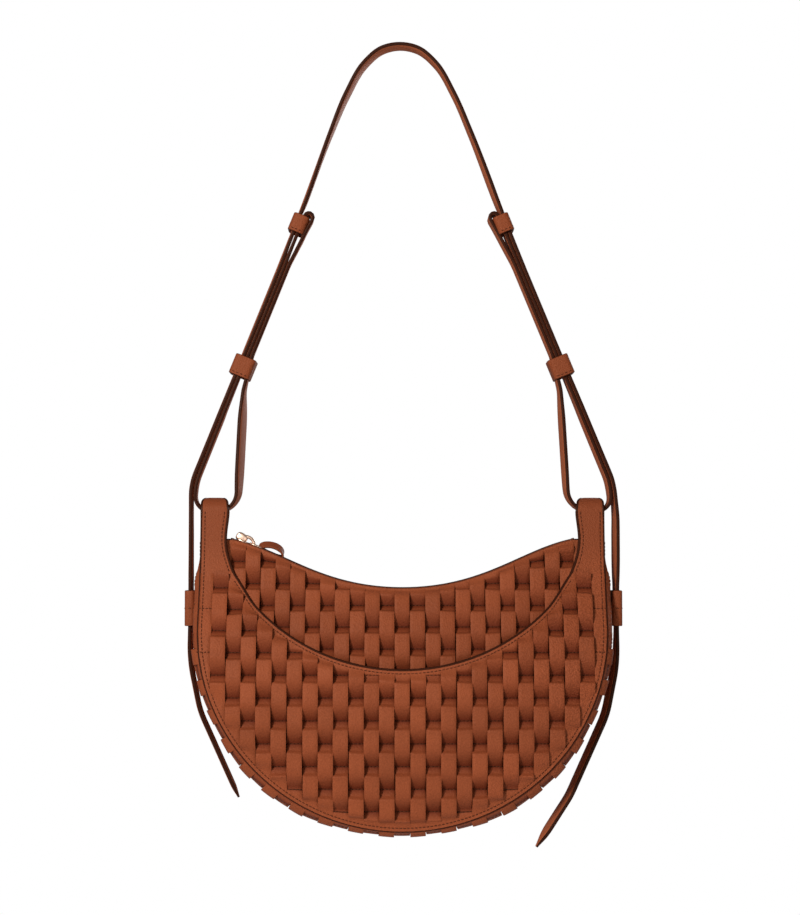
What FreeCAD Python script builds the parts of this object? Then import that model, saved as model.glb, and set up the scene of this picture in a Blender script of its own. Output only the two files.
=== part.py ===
import FreeCAD, Part
import Sketcher
import math
import os

# A half moon shoulder bag that hangs by its strap. X is to the right as seen from the front, the
# front faces -Y, Z is up, and the origin is the underside of the strap at its highest point.
doc = FreeCAD.newDocument("half_moon_bag")
sizes = doc.addObject("Spreadsheet::Sheet", "Sizes")
derived = doc.addObject("Spreadsheet::Sheet", "Derived")

DRIVING_SIZES = [
    # Shoulder strap and keepers. A drop is a level below the origin, a rise above the axle.
    ("strap_width", 13.0),
    ("strap_thickness", 2.4),
    ("strap_gap", 0.4),
    ("arch_radius", 29.5),
    ("knee_rise", 18.0),
    ("knee_radius", 40.0),
    ("inner_strand_inset", 5.4),
    ("fork_radius", 30.0),
    ("turn_radius", 8.0),
    ("keeper_wall", 2.0),
    ("upper_keeper_drop", 115.0),
    ("upper_keeper_height", 12.0),
    ("lower_keeper_gap", 4.5),
    ("lower_keeper_height", 13.5),
    ("merge_start", 4.0),
    ("merge_length", 24.0),
    # Free strap ends on the bag's sides. A fall is a level below the axle.
    ("side_keeper_fall", 62.5),
    ("side_keeper_height", 23.0),
    ("side_keeper_wall", 1.6),
    ("tail_clearance", 2.0),
    ("tail_straight", 14.0),
    ("tail_radius", 140.0),
    ("tail_sweep_angle", 23.0),
    ("left_tail_run", 44.0),
    ("right_tail_run", 82.0),
    ("tail_point", 8.0),
    # Tabs that the loop straps run through.
    ("axle_drop", 303.0),
    ("tab_width", 17.0),
    ("tab_wall", 2.2),
    ("tunnel_gap", 0.3),
    # Outline of the half moon, seen from the front.
    ("half_width", 129.5),
    ("round_fall", 73.0),
    ("zip_side_fall", 15.0),
    ("zip_fall", 51.0),
    ("pocket_side_fall", 37.0),
    ("pocket_fall", 101.0),
    # Half depths of the bag, seen from the side.
    ("belly_fall", 127.0),
    ("front_belly", 36.0),
    ("front_base", 29.0),
    ("back_belly", 32.0),
    ("back_base", 26.0),
    ("wall_neck", 5.2),
    ("wall_belly", 27.0),
    ("wall_base", 21.0),
    ("wall_thickness", 2.0),
    # Side band, edge binding and what is inside.
    ("gusset_thickness", 4.4),
    ("gusset_inset", 1.5),
    ("gusset_top_fall", 19.0),
    ("seam_gap", 0.1),
    ("binding_width", 2.0),
    ("binding_height", 1.2),
    ("lining_gap", 0.3),
    ("lining_thickness", 0.8),
    ("board_thickness", 1.2),
    ("board_rise", 45.0),
    # Zip.
    ("tape_depth", 0.6),
    ("tape_thickness", 0.8),
    ("tape_split", 3.2),
    ("tape_end_gap", 1.0),
    ("tooth_length", 1.4),
    ("tooth_height", 2.2),
    ("tooth_pitch", 2.5),
    ("chain_end", 7.0),
    ("stop_length", 3.0),
    ("slider_inset", 10.5),
    ("slider_length", 11.0),
    ("slider_width", 6.0),
    ("plate_thickness", 1.2),
    ("channel_gap", 0.4),
    ("neck_length", 2.2),
    ("neck_width", 2.2),
    ("bail_length", 7.0),
    ("bail_height", 3.6),
    ("bail_width", 2.4),
    ("bail_bar", 1.1),
    ("ring_bar", 1.1),
    ("ring_length", 7.4),
    ("ring_width", 8.0),
    ("pull_gap", 0.3),
    ("pull_tilt_angle", 7.0),
    ("puller_length", 18.0),
    ("puller_width", 5.0),
    ("puller_leather", 1.1),
    ("puller_swell", 1.6),
    # How far every cutting shape runs past what it cuts.
    ("cut_overrun", 10.0),
]


class Size:
    """A size that carries its number and the sheet formula that gives it."""

    def __init__(self, number, text):
        self.number = number
        self.text = text

    def __add__(self, other):
        other = as_size(other)
        return Size(self.number + other.number, "(%s + %s)" % (self.text, other.text))

    def __sub__(self, other):
        other = as_size(other)
        return Size(self.number - other.number, "(%s - %s)" % (self.text, other.text))

    def __mul__(self, other):
        other = as_size(other)
        return Size(self.number * other.number, "(%s * %s)" % (self.text, other.text))

    def __truediv__(self, other):
        other = as_size(other)
        return Size(self.number / other.number, "(%s / %s)" % (self.text, other.text))

    def __neg__(self):
        return Size(-self.number, "(-1 * %s)" % self.text)


def as_size(value):
    if isinstance(value, Size):
        return value
    return Size(value, "(%r)" % value)


def root(value):
    return Size(math.sqrt(value.number), "sqrt(%s)" % value.text)


def sine(angle):
    return Size(math.sin(math.radians(angle.number)), "sin(%s * 1deg)" % angle.text)


def cosine(angle):
    return Size(math.cos(math.radians(angle.number)), "cos(%s * 1deg)" % angle.text)


def arc_sine(ratio):
    # The angle in plain degrees.
    return Size(math.degrees(math.asin(ratio.number)), "(asin(%s) / 1deg)" % ratio.text)


def arc_radius(half_chord, sag):
    return (half_chord * half_chord + sag * sag) / (sag * 2)


def named(alias, value):
    # A worked-out size gets a cell of its own, so that the formulas which use it stay short.
    row = len(derived_aliases) + 1
    derived_aliases.append(alias)
    derived.set("A%d" % row, alias)
    derived.set("B%d" % row, "=" + value.text)
    derived.setAlias("B%d" % row, alias)
    return Size(value.number, "Derived." + alias)


size = {}
derived_aliases = []
for row, (alias, number) in enumerate(DRIVING_SIZES, start=1):
    sizes.set("A%d" % row, alias)
    sizes.set("B%d" % row, str(number))
    sizes.setAlias("B%d" % row, alias)
    size[alias] = Size(number, "Sizes." + alias)

ZERO = Size(0.0, "0")
half_strap = named("half_strap", size["strap_thickness"] / 2)
half_strap_width = named("half_strap_width", size["strap_width"] / 2)
strand_pitch = named("strand_pitch", size["strap_thickness"] + size["strap_gap"])
axle_z = -size["axle_drop"]
round_z = axle_z - size["round_fall"]
belly_z = axle_z - size["belly_fall"]
knee_z = axle_z + size["knee_rise"]
zip_side_z = axle_z - size["zip_side_fall"]
zip_z = axle_z - size["zip_fall"]
pocket_side_z = axle_z - size["pocket_side_fall"]
pocket_z = axle_z - size["pocket_fall"]
gusset_top_z = axle_z - size["gusset_top_fall"]
half_width = size["half_width"]
overrun = size["cut_overrun"]

# The tunnel in each tab lets the flat strap turn about the axle.
bore_radius = named(
    "bore_radius",
    root(half_strap_width * half_strap_width + half_strap * half_strap) + size["tunnel_gap"],
)
tab_half_depth = named("tab_half_depth", bore_radius + size["tab_wall"])
tab_inner = named("tab_inner", half_width - size["tab_width"])
gusset_inner = named("gusset_inner", half_width + size["seam_gap"])
gusset_outer = named("gusset_outer", gusset_inner + size["gusset_thickness"])
strand_x = named(
    "strand_x",
    gusset_outer + size["side_keeper_wall"] + size["strap_gap"] + half_strap,
)

# Each outer strand runs from the arch to its knee on their common tangent, which sets its lean.
arch_middle = named("arch_middle", size["arch_radius"] + half_strap)
knee_depth = named("knee_depth", -knee_z - size["arch_radius"])
knee_reach_square = named("knee_reach_square", strand_x * strand_x + knee_depth * knee_depth)
tangent_run = named("tangent_run", root(knee_reach_square - arch_middle * arch_middle))
lean_sine = named(
    "lean_sine", (strand_x * tangent_run - knee_depth * arch_middle) / knee_reach_square
)
lean_cosine = named(
    "lean_cosine", (knee_depth * tangent_run + strand_x * arch_middle) / knee_reach_square
)
lean_half_tangent = named("lean_half_tangent", (as_size(1) - lean_cosine) / lean_sine)
lean_angle = arc_sine(lean_sine)

# Places along a strand, measured up its length from the knee.
upper_station = named("upper_station", -(knee_z + size["upper_keeper_drop"]) / lean_cosine)
inner_strand_x = named("inner_strand_x", tab_inner - size["inner_strand_inset"])
fork_station = named(
    "fork_station", (strand_x - inner_strand_x - strand_pitch * 2 * lean_cosine) / lean_sine
)
fork_z = named("fork_z", knee_z + fork_station * lean_cosine - strand_pitch * 2 * lean_sine)
lower_station = named(
    "lower_station",
    fork_station
    + size["fork_radius"] * lean_half_tangent
    + size["lower_keeper_gap"]
    + size["lower_keeper_height"] / 2,
)
fold_half = named(
    "fold_half", (size["strap_thickness"] + size["strap_gap"] * 2 + size["keeper_wall"]) / 2
)
fold_station = named("fold_station", upper_station + size["upper_keeper_height"] / 2)
merge_top = named("merge_top", upper_station - size["upper_keeper_height"] / 2 - size["merge_start"])
merge_foot = named("merge_foot", merge_top - size["merge_length"])
tail_z = named(
    "tail_z",
    axle_z
    - size["side_keeper_fall"]
    - size["side_keeper_height"] / 2
    - size["tail_clearance"],
)

# The zip edge and the pocket edge are arcs between the tabs.
zip_radius = named("zip_radius", arc_radius(tab_inner, zip_side_z - zip_z))
zip_centre_z = named("zip_centre_z", zip_radius + zip_z)
pocket_radius = named("pocket_radius", arc_radius(tab_inner, pocket_side_z - pocket_z))
slider_offset = named("slider_offset", tab_inner - size["slider_inset"])
tape_top = named("tape_top", zip_radius + size["tape_depth"])
tape_base = named("tape_base", tape_top + size["tape_thickness"])
chain_radius = named("chain_radius", (tape_top + tape_base) / 2)
slider_angle = named("slider_angle", arc_sine(slider_offset / chain_radius))

pieces = []


def keep(piece, label):
    piece.Label = label
    pieces.append(piece)
    return piece


def vector(corner):
    return FreeCAD.Vector(corner[0].number, corner[1].number, 0)


def draw(sketch, corners):
    """Adds a closed outline. A corner of two sizes starts a straight edge. A corner with a radius and
    a turn starts an arc, whose centre lies to the left of the way along it (1) or to the right (-1)."""
    first = sketch.GeometryCount
    starts, ends = [], []
    for index, corner in enumerate(corners):
        here = vector(corner)
        there = vector(corners[(index + 1) % len(corners)])
        if len(corner) == 2:
            sketch.addGeometry(Part.LineSegment(here, there), False)
            turn = 1
        else:
            radius, turn = corner[2].number, corner[3]
            chord = there - here
            height = math.sqrt(max(radius**2 - chord.Length**2 / 4, 0))
            left = FreeCAD.Vector(-chord.y, chord.x, 0).normalize()
            centre = here + chord * 0.5 + left * (turn * height)
            begin, end = (here - centre, there - centre)[::turn]
            circle = Part.Circle(centre, FreeCAD.Vector(0, 0, 1), radius)
            arc = Part.ArcOfCircle(circle, math.atan2(begin.y, begin.x), math.atan2(end.y, end.x))
            sketch.addGeometry(arc, False)
        starts.append(1 if turn > 0 else 2)
        ends.append(2 if turn > 0 else 1)
    for index, corner in enumerate(corners):
        following = (index + 1) % len(corners)
        sketch.addConstraint(
            Sketcher.Constraint("Coincident", first + index, ends[index], first + following, starts[following])
        )
    for index, corner in enumerate(corners):
        at = (first + index, starts[index])
        bind(sketch, "DistanceX", (-1, 1) + at, corner[0], -2)
        bind(sketch, "DistanceY", (-1, 1) + at, corner[1], -1)
        if len(corner) == 4:
            bind(sketch, "Radius", (first + index,), corner[2], None)


def bind(sketch, kind, place, value, axis):
    # A place on an axis of the sketch is held there, and any other follows its formula.
    if value is ZERO:
        sketch.addConstraint(Sketcher.Constraint("PointOnObject", place[2], place[3], axis))
        return
    number = sketch.addConstraint(Sketcher.Constraint(kind, *place, value.number))
    sketch.setExpression("Constraints[%d]" % number, value.text)


def new_body(name):
    return doc.addObject("PartDesign::Body", name)


def new_sketch(body, plane, *outlines):
    face = [feature for feature in body.Origin.OriginFeatures if feature.Role == plane][0]
    sketch = body.newObject("Sketcher::SketchObject", body.Name + "_outline")
    sketch.AttachmentSupport = [(face, "")]
    sketch.MapMode = "FlatFace"
    for corners in outlines:
        draw(sketch, corners)
    return sketch


def extrude(body, kind, sketch, length, side="Symmetric"):
    # Symmetric runs both ways from the sketch, Front towards -Y and Back towards +Y.
    feature = body.newObject("PartDesign::" + kind, body.Name + "_" + kind.lower())
    feature.Profile = sketch
    feature.setExpression("Length", length.text)
    feature.Midplane = side == "Symmetric"
    feature.Reversed = side == "Back"
    return feature


def padded(name, plane, length, *outlines, side="Symmetric"):
    body = new_body(name)
    extrude(body, "Pad", new_sketch(body, plane, *outlines), length, side)
    return body


def place(piece, x=None, y=None, z=None, turn=None):
    # Turns about Y, in degrees, then moves.
    piece.Placement = FreeCAD.Placement(FreeCAD.Vector(), FreeCAD.Rotation(FreeCAD.Vector(0, 1, 0), 1))
    piece.setExpression("Placement.Rotation.Angle", (turn or ZERO).text + " * 1deg")
    for axis, value in (("x", x), ("y", y), ("z", z)):
        if value is not None:
            piece.setExpression("Placement.Base." + axis, value.text)


def box(name, length, width, height, x, y, z, turn=None):
    piece = doc.addObject("Part::Box", name)
    for side, value in (("Length", length), ("Width", width), ("Height", height)):
        piece.setExpression(side, value.text)
    place(piece, x, y, z, turn)
    return piece


def boolean(kind, name, base, tool):
    piece = doc.addObject("Part::" + kind, name)
    piece.Base = base
    piece.Tool = tool
    return piece


def mirrored(corners, side):
    # The outline of the right side, or its mirror image for the left.
    if side > 0:
        return corners
    return [
        (-corner[0],) + tuple(corner[1:3]) + tuple(-turn for turn in corner[3:])
        for corner in corners
    ]


def strand(station, inward, side=1):
    # A point that far up the strand from the knee, and that far in from the main strap's middle.
    x = strand_x - station * lean_sine - inward * lean_cosine
    z = knee_z + station * lean_cosine - inward * lean_sine
    return (x if side > 0 else -x, z)


SIDES = (("left", -1), ("right", 1))


def main_strap():
    """A band over the arch and down both outer strands, whose ends are round about the axle."""
    foot_z = axle_z - half_strap_width

    def half(offset, turn):
        # Foot, knee and arch points of the right half, at an offset outwards from the middle.
        radius = size["knee_radius"] + offset
        tangent = radius * lean_half_tangent
        x = strand_x + offset
        z = knee_z + offset * lean_half_tangent
        ring = arch_middle + offset
        return [
            (x, foot_z),
            (x, z - tangent, radius, turn),
            (x - tangent * lean_sine, z + tangent * lean_cosine),
            (ring * lean_cosine, ring * lean_sine - size["arch_radius"], ring, turn),
        ]

    outer, inner = half(half_strap, 1), half(-half_strap, 1)
    arch, inner_arch = outer[3][2], inner[3][2]
    corners = outer + [
        (ZERO, size["strap_thickness"], arch, 1),
        (-outer[3][0], outer[3][1]),
        (-outer[2][0], outer[2][1], outer[1][2], 1),
        (-outer[1][0], outer[1][1]),
        (-outer[0][0], outer[0][1]),
        (-inner[0][0], inner[0][1]),
        (-inner[1][0], inner[1][1], inner[1][2], -1),
        (-inner[2][0], inner[2][1]),
        (-inner[3][0], inner[3][1], inner_arch, -1),
        (ZERO, ZERO, inner_arch, -1),
        (inner[3][0], inner[3][1]),
        (inner[2][0], inner[2][1], inner[1][2], -1),
        (inner[1][0], inner[1][1]),
        (inner[0][0], inner[0][1]),
    ]
    body = new_body("MainStrap")
    band = extrude(body, "Pad", new_sketch(body, "XZ_Plane", corners), size["strap_width"])
    doc.recompute()
    ends = []
    for number, edge in enumerate(band.Shape.Edges, start=1):
        low = edge.BoundBox.ZMax < foot_z.number + half_strap.number
        if low and edge.BoundBox.YLength < half_strap.number and edge.BoundBox.XLength > half_strap.number:
            ends.append("Edge%d" % number)
    rounding = body.newObject("PartDesign::Fillet", "MainStrap_ends")
    rounding.Base = (band, ends)
    rounding.setExpression("Radius", (half_strap_width - size["tunnel_gap"]).text)
    return keep(body, "main_strap")


def loop_strap(name, side):
    """A closed strap: through the tab, up inside both keepers and folded over the upper keeper's wall."""
    pitch = strand_pitch

    def edge(offset):
        # The band's outline at an offset out of the loop from its middle.
        folded = fold_half + offset
        around = size["turn_radius"] + offset
        turn_z = axle_z + size["turn_radius"]
        outer_in = pitch - offset
        knee = size["knee_radius"] - outer_in
        knee_tangent = knee * lean_half_tangent
        outer_x = strand_x - outer_in
        knee_corner = knee_z - outer_in * lean_half_tangent
        fork = size["fork_radius"] - offset
        fork_tangent = fork * lean_half_tangent
        inner_x = inner_strand_x - offset
        fork_corner = fork_z - offset * lean_half_tangent
        return [
            strand(fold_station, outer_in),
            (outer_x - knee_tangent * lean_sine, knee_corner + knee_tangent * lean_cosine, knee, -1),
            (outer_x, knee_corner - knee_tangent),
            (outer_x, turn_z, around, -1),
            (strand_x - pitch - size["turn_radius"], axle_z - offset),
            (inner_strand_x + size["turn_radius"], axle_z - offset, around, -1),
            (inner_x, turn_z),
            (inner_x, fork_corner - fork_tangent, fork, 1),
            (inner_x - fork_tangent * lean_sine, fork_corner + fork_tangent * lean_cosine),
            strand(merge_foot, pitch * 2 + offset),
            strand(merge_top, pitch + fold_half * 2 + offset),
            strand(fold_station, pitch + fold_half * 2 + offset) + (folded, -1),
            strand(fold_station + folded, pitch + fold_half) + (folded, -1),
        ]

    outlines = [mirrored(edge(offset), side) for offset in (half_strap, -half_strap)]
    body = padded(name.capitalize() + "Loop", "XZ_Plane", size["strap_width"], *outlines)
    return keep(body, name + "_loop_strap")


def strap_keeper(name, side, level, station, height, strands):
    """A sleeve round the strands at a station, with its own wall and an even gap inside."""
    gap, wall = size["strap_gap"], size["keeper_wall"]
    across = strand_pitch * (strands - 1) + size["strap_thickness"] + gap * 2
    middle = strand_pitch * (strands - 1) / 2
    deep = size["strap_width"] + gap * 2

    def block(part, grow, rise):
        half_across = across / 2 + grow
        corner = strand(station - height / 2 - rise, middle + half_across * side, side)
        label = name.capitalize() + level.capitalize() + part
        turn = lean_angle if side < 0 else -lean_angle
        return box(
            label, half_across * 2, deep + grow * 2, height + rise * 2,
            corner[0], -(deep / 2 + grow), corner[1], turn,
        )

    sleeve = boolean("Cut", name.capitalize() + level.capitalize() + "Keeper",
                     block("Outside", wall, ZERO), block("Inside", ZERO, overrun))
    return keep(sleeve, "%s_%s_keeper" % (name, level))


def side_keeper(name, side):
    """A loop on the side band that the free strap end is pushed through."""
    gap, wall = size["strap_gap"], size["side_keeper_wall"]
    slot = size["strap_thickness"] + gap * 2
    half_slot = half_strap_width + gap
    foot = axle_z - size["side_keeper_fall"] - size["side_keeper_height"] / 2

    def block(part, inset, length, half_deep, z, height):
        x = gusset_outer + inset if side > 0 else -(gusset_outer + inset + length)
        return box(name.capitalize() + "Side" + part, length, half_deep * 2, height, x, -half_deep, z)

    outside = block("Outside", ZERO, slot + wall * 2, half_slot + wall, foot, size["side_keeper_height"])
    inside = block(
        "Inside", wall, slot, half_slot, foot - overrun, size["side_keeper_height"] + overrun * 2
    )
    return keep(boolean("Cut", name.capitalize() + "SideKeeper", outside, inside), name + "_side_keeper")


def strap_end(name, side):
    """The stretch of the main strap from below the axle to the foot of its side keeper."""
    top = axle_z - half_strap_width - size["strap_gap"]
    foot = tail_z + half_strap + size["strap_gap"]
    x = strand_x - half_strap if side > 0 else -(strand_x + half_strap)
    piece = box(
        name.capitalize() + "StrapEnd", size["strap_thickness"], size["strap_width"], top - foot,
        x, -half_strap_width, foot,
    )
    return keep(piece, name + "_strap_end")


def strap_tail(name, side):
    """The free end below the side keeper: straight, bent in round the bag, straight and pointed."""
    sweep_sine, sweep_cosine = sine(size["tail_sweep_angle"]), cosine(size["tail_sweep_angle"])
    run = size[name + "_tail_run"]
    bend_z = tail_z - size["tail_straight"]

    def beyond(offset, length):
        # A point past the bend, at an offset outwards from the strap's middle.
        radius = size["tail_radius"] + offset
        x = strand_x - size["tail_radius"] + radius * sweep_cosine - length * sweep_sine
        return (x, bend_z - radius * sweep_sine - length * sweep_cosine)

    inner_bend = size["tail_radius"] - half_strap
    outer_bend = size["tail_radius"] + half_strap
    corners = [
        (strand_x - half_strap, tail_z, half_strap, -1),
        (strand_x, tail_z + half_strap, half_strap, -1),
        (strand_x + half_strap, tail_z),
        (strand_x + half_strap, bend_z, outer_bend, -1),
        beyond(half_strap, ZERO),
        beyond(half_strap, run),
        beyond(ZERO, run + size["tail_point"]),
        beyond(-half_strap, run),
        beyond(-half_strap, ZERO) + (inner_bend, 1),
        (strand_x - half_strap, bend_z),
    ]
    body = padded(
        name.capitalize() + "Tail", "XZ_Plane", size["strap_width"], mirrored(corners, side)
    )
    return keep(body, name + "_tail")


class Surface:
    """The side view of a panel: out from the tab in a flare, round the belly and in to the base."""

    def __init__(self, name, sign, neck, belly, base):
        self.sign = sign
        self.neck = neck
        self.belly = belly
        spread = belly - neck
        height = size["belly_fall"]
        self.flare = named(name + "_flare", (height * height + spread * spread) / (spread * 4))
        self.slope_cosine = named(name + "_slope_cosine", as_size(1) - spread / (self.flare * 2))
        self.slope_sine = named(name + "_slope_sine", height / (self.flare * 2))
        self.middle_y = named(name + "_middle_y", (neck + belly) / 2)
        drop = size["round_fall"] + half_width - size["belly_fall"]
        self.low_drop = named(name + "_low_drop", drop + overrun)
        self.curl = named(name + "_curl", arc_radius(drop, belly - base))

    def points(self, inset, upwards=False):
        # Corners down, or up, the surface at an inset from its outer face, with their arcs.
        curl = self.curl - inset
        low = self.belly - self.curl + root(curl * curl - self.low_drop * self.low_drop)
        bend_z = (axle_z + belly_z) / 2
        places = [
            (self.neck - inset, axle_z),
            (self.middle_y - self.slope_cosine * inset, bend_z - self.slope_sine * inset),
            (self.belly - inset, belly_z),
            (low, belly_z - self.low_drop),
        ]
        arcs = [(self.flare + inset, 1), (self.flare - inset, -1), (curl, -1)]
        if upwards:
            places.reverse()
            arcs = [(radius, -turn) for radius, turn in reversed(arcs)]
        corners = [places[i] + (arcs[i][0], arcs[i][1]) for i in range(3)] + [places[3]]
        return mirrored(corners, self.sign)


front = Surface("front", -1, tab_half_depth, size["front_belly"], size["front_base"])
back = Surface("back", 1, tab_half_depth, size["back_belly"], size["back_base"])
wall = Surface("wall", -1, size["wall_neck"], size["wall_belly"], size["wall_base"])
whole_width = named("whole_width", (gusset_outer + overrun) * 2)
whole_depth = named("whole_depth", (size["front_belly"] + size["back_belly"]) * 2)


def shell(name, surface, outer_inset, inner_inset):
    # A layer between two insets of one surface, as long as the bag is wide.
    corners = surface.points(outer_inset) + surface.points(inner_inset, upwards=True)
    return padded(name, "YZ_Plane", whole_width, corners)


def space(name, front_surface, front_inset, back_surface, back_inset):
    # What lies between a front surface and a back one.
    corners = front_surface.points(front_inset) + back_surface.points(back_inset, upwards=True)
    return padded(name, "YZ_Plane", whole_width, corners)


def round_bottom(radius, top_z):
    # Down the left side, round the bottom and up the right side.
    return [
        (-radius, top_z),
        (-radius, round_z, radius, 1),
        (ZERO, round_z - radius, radius, 1),
        (radius, round_z),
        (radius, top_z),
    ]


def hollow_top(half_chord, side_z, lowest_z, radius):
    # An arc that dips between its two sides, from the right to the left.
    return [
        (half_chord, side_z, radius, -1),
        (ZERO, lowest_z, radius, -1),
        (-half_chord, side_z),
    ]


def u_band(name, inner, outer, top_z, tool):
    # A band round the bottom and up both sides, kept where it meets the tool.
    inside = round_bottom(inner, top_z)
    outline = round_bottom(outer, top_z) + [
        (inner, top_z),
        (inner, round_z, inner, -1),
        (ZERO, round_z - inner, inner, -1),
        (-inner, round_z),
        inside[0],
    ]
    blank = padded(name + "Blank", "XZ_Plane", whole_depth, outline)
    return boolean("Common", name, blank, tool)


def front_overlay_panel():
    """The pocket front: a crescent whose two horns are the front halves of the tabs."""
    outline = (
        round_bottom(half_width, axle_z)
        + [(tab_inner, axle_z)]
        + hollow_top(tab_inner, pocket_side_z, pocket_z, pocket_radius)
        + [(-tab_inner, axle_z)]
    )
    blank = padded("OverlayBlank", "XZ_Plane", whole_depth, outline)
    layer = shell("OverlayLayer", front, ZERO, size["tab_wall"])
    return keep(boolean("Common", "FrontOverlay", blank, layer), "front_overlay_panel")


def back_panel():
    """The back: as high as the zip edge, with the back halves of the tabs."""
    outline = (
        round_bottom(half_width, axle_z)
        + [(tab_inner, axle_z)]
        + hollow_top(tab_inner, zip_side_z, zip_z, zip_radius)
        + [(-tab_inner, axle_z)]
    )
    blank = padded("BackBlank", "XZ_Plane", whole_depth, outline)
    layer = shell("BackLayer", back, ZERO, size["tab_wall"])
    return keep(boolean("Common", "BackPanel", blank, layer), "back_panel")


def front_upper_panel():
    """The front wall of the main compartment, which the pocket front partly covers."""
    outline = round_bottom(half_width, zip_side_z) + hollow_top(
        tab_inner, zip_side_z, zip_z, zip_radius
    )
    blank = padded("WallBlank", "XZ_Plane", whole_depth, outline)
    layer = shell("WallLayer", wall, ZERO, size["wall_thickness"])
    return keep(boolean("Common", "FrontUpper", blank, layer), "front_upper_panel")


def gusset_band():
    tool = space("GussetSpace", front, size["gusset_inset"], back, size["gusset_inset"])
    band = u_band("Gusset", gusset_inner, gusset_outer, gusset_top_z, tool)
    return keep(band, "gusset_band")


def edge_binding(name, surface):
    layer = shell(
        name.capitalize() + "BindingLayer", surface,
        -(size["binding_height"] + size["seam_gap"]), -size["seam_gap"],
    )
    band = u_band(
        name.capitalize() + "Binding", half_width - size["binding_width"], half_width,
        gusset_top_z, layer,
    )
    return keep(band, name + "_edge_binding")


def tab_fold(name, side):
    """The leather that goes over the strap at the top of a tab: half a ring about the axle."""
    wide, narrow = tab_half_depth, bore_radius
    corners = [
        (wide, axle_z, wide, 1),
        (ZERO, axle_z + wide, wide, 1),
        (-wide, axle_z),
        (-narrow, axle_z, narrow, -1),
        (ZERO, axle_z + narrow, narrow, -1),
        (narrow, axle_z),
    ]
    body = padded(name.capitalize() + "TabFold", "YZ_Plane", size["tab_width"], corners)
    middle = half_width - size["tab_width"] / 2
    place(body, x=middle if side > 0 else -middle)
    return keep(body, name + "_tab_fold")


board_inner = named("board_inner", half_width - size["board_thickness"])
lining_radius = named("lining_radius", board_inner - size["lining_gap"])


def inner_space(name, inset):
    return space(name, wall, size["wall_thickness"] + inset, back, size["tab_wall"] + inset)


def base_board():
    """A stiff strip inside the bottom of the side band."""
    level = half_width - size["board_rise"]
    cut_z = round_z - level

    def reach(radius):
        return root(radius * radius - level * level)

    outline = [
        (reach(half_width), cut_z, half_width, -1),
        (ZERO, round_z - half_width, half_width, -1),
        (-reach(half_width), cut_z),
        (-reach(board_inner), cut_z, board_inner, 1),
        (ZERO, round_z - board_inner, board_inner, 1),
        (reach(board_inner), cut_z),
    ]
    blank = padded("BoardBlank", "XZ_Plane", whole_depth, outline)
    tool = inner_space("BoardSpace", size["lining_gap"])
    return keep(boolean("Common", "BaseBoard", blank, tool), "base_board")


def lining_bag():
    """A thin bag inside the main compartment, open below the zip."""
    rim = named("lining_rim", tape_base + size["lining_gap"])
    side_z = zip_centre_z - root(rim * rim - tab_inner * tab_inner)
    outline = round_bottom(lining_radius, side_z) + hollow_top(
        tab_inner, side_z, zip_centre_z - rim, rim
    )
    outside = boolean(
        "Common", "LiningOutside", padded("LiningBlank", "XZ_Plane", whole_depth, outline),
        inner_space("LiningSpace", size["lining_gap"]),
    )
    hollow = round_bottom(lining_radius - size["lining_thickness"], axle_z)
    inside = boolean(
        "Common", "LiningInside", padded("LiningHollow", "XZ_Plane", whole_depth, hollow),
        inner_space("LiningHollowSpace", size["lining_gap"] + size["lining_thickness"]),
    )
    return keep(boolean("Cut", "Lining", outside, inside), "lining_bag")


def zip_tape(name, side):
    """Half of the zip's tape, from its chain to the wall that it is sewn to."""
    end = tab_inner - size["tape_end_gap"]

    def level(radius):
        return zip_centre_z - root(radius * radius - end * end)

    outline = hollow_top(end, level(tape_top), zip_centre_z - tape_top, tape_top) + [
        (-end, level(tape_base), tape_base, 1),
        (ZERO, zip_centre_z - tape_base, tape_base, 1),
        (end, level(tape_base)),
    ]
    blank = padded(
        name.capitalize() + "TapeBlank", "XZ_Plane", whole_depth, outline, side=name.capitalize()
    )
    place(blank, y=size["tape_split"] / 2 * side)
    tool = inner_space(name.capitalize() + "TapeSpace", size["seam_gap"])
    return keep(boolean("Common", name.capitalize() + "Tape", blank, tool), "zip_tape_" + name)


def rectangle(left, right, low, high):
    return [(left, low), (right, low), (right, high), (left, high)]


def zip_teeth(name, side):
    """A row of teeth along one tape's edge, from the slider's neck to the end stop."""
    half = size["tooth_height"] / 2
    half_tooth = size["tooth_length"] / 2
    body = new_body(name.capitalize() + "Teeth")
    outline = rectangle(-half_tooth, half_tooth, -chain_radius - half, half - chain_radius)
    reach = size["tape_split"] / 2 - size["seam_gap"] * 2
    tooth = extrude(body, "Pad", new_sketch(body, "XZ_Plane", outline), reach, name.capitalize())
    neck_x = slider_offset + size["slider_length"] / 2 - size["neck_length"]
    start = arc_sine((neck_x - size["tooth_length"]) / chain_radius)
    stop = arc_sine((tab_inner - size["chain_end"] - size["tooth_length"]) / chain_radius)
    step = arc_sine(size["tooth_pitch"] / chain_radius)
    shift = step / 2 if side > 0 else ZERO
    count = Size(
        math.floor((start.number + stop.number) / step.number),
        "floor((%s + %s) / %s)" % (start.text, stop.text, step.text),
    )
    row = body.newObject("PartDesign::PolarPattern", name.capitalize() + "TeethRow")
    row.Originals = [tooth]
    axis = [feature for feature in body.Origin.OriginFeatures if feature.Role == "Y_Axis"][0]
    row.Axis = (axis, [""])
    row.Reversed = True
    row.setExpression("Occurrences", count.text)
    row.setExpression("Angle", (step * (count - 1)).text + " * 1deg")
    body.Tip = row
    place(body, y=size["seam_gap"] * side, z=zip_centre_z, turn=start - shift)
    return keep(body, "zip_teeth_" + name)


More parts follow.
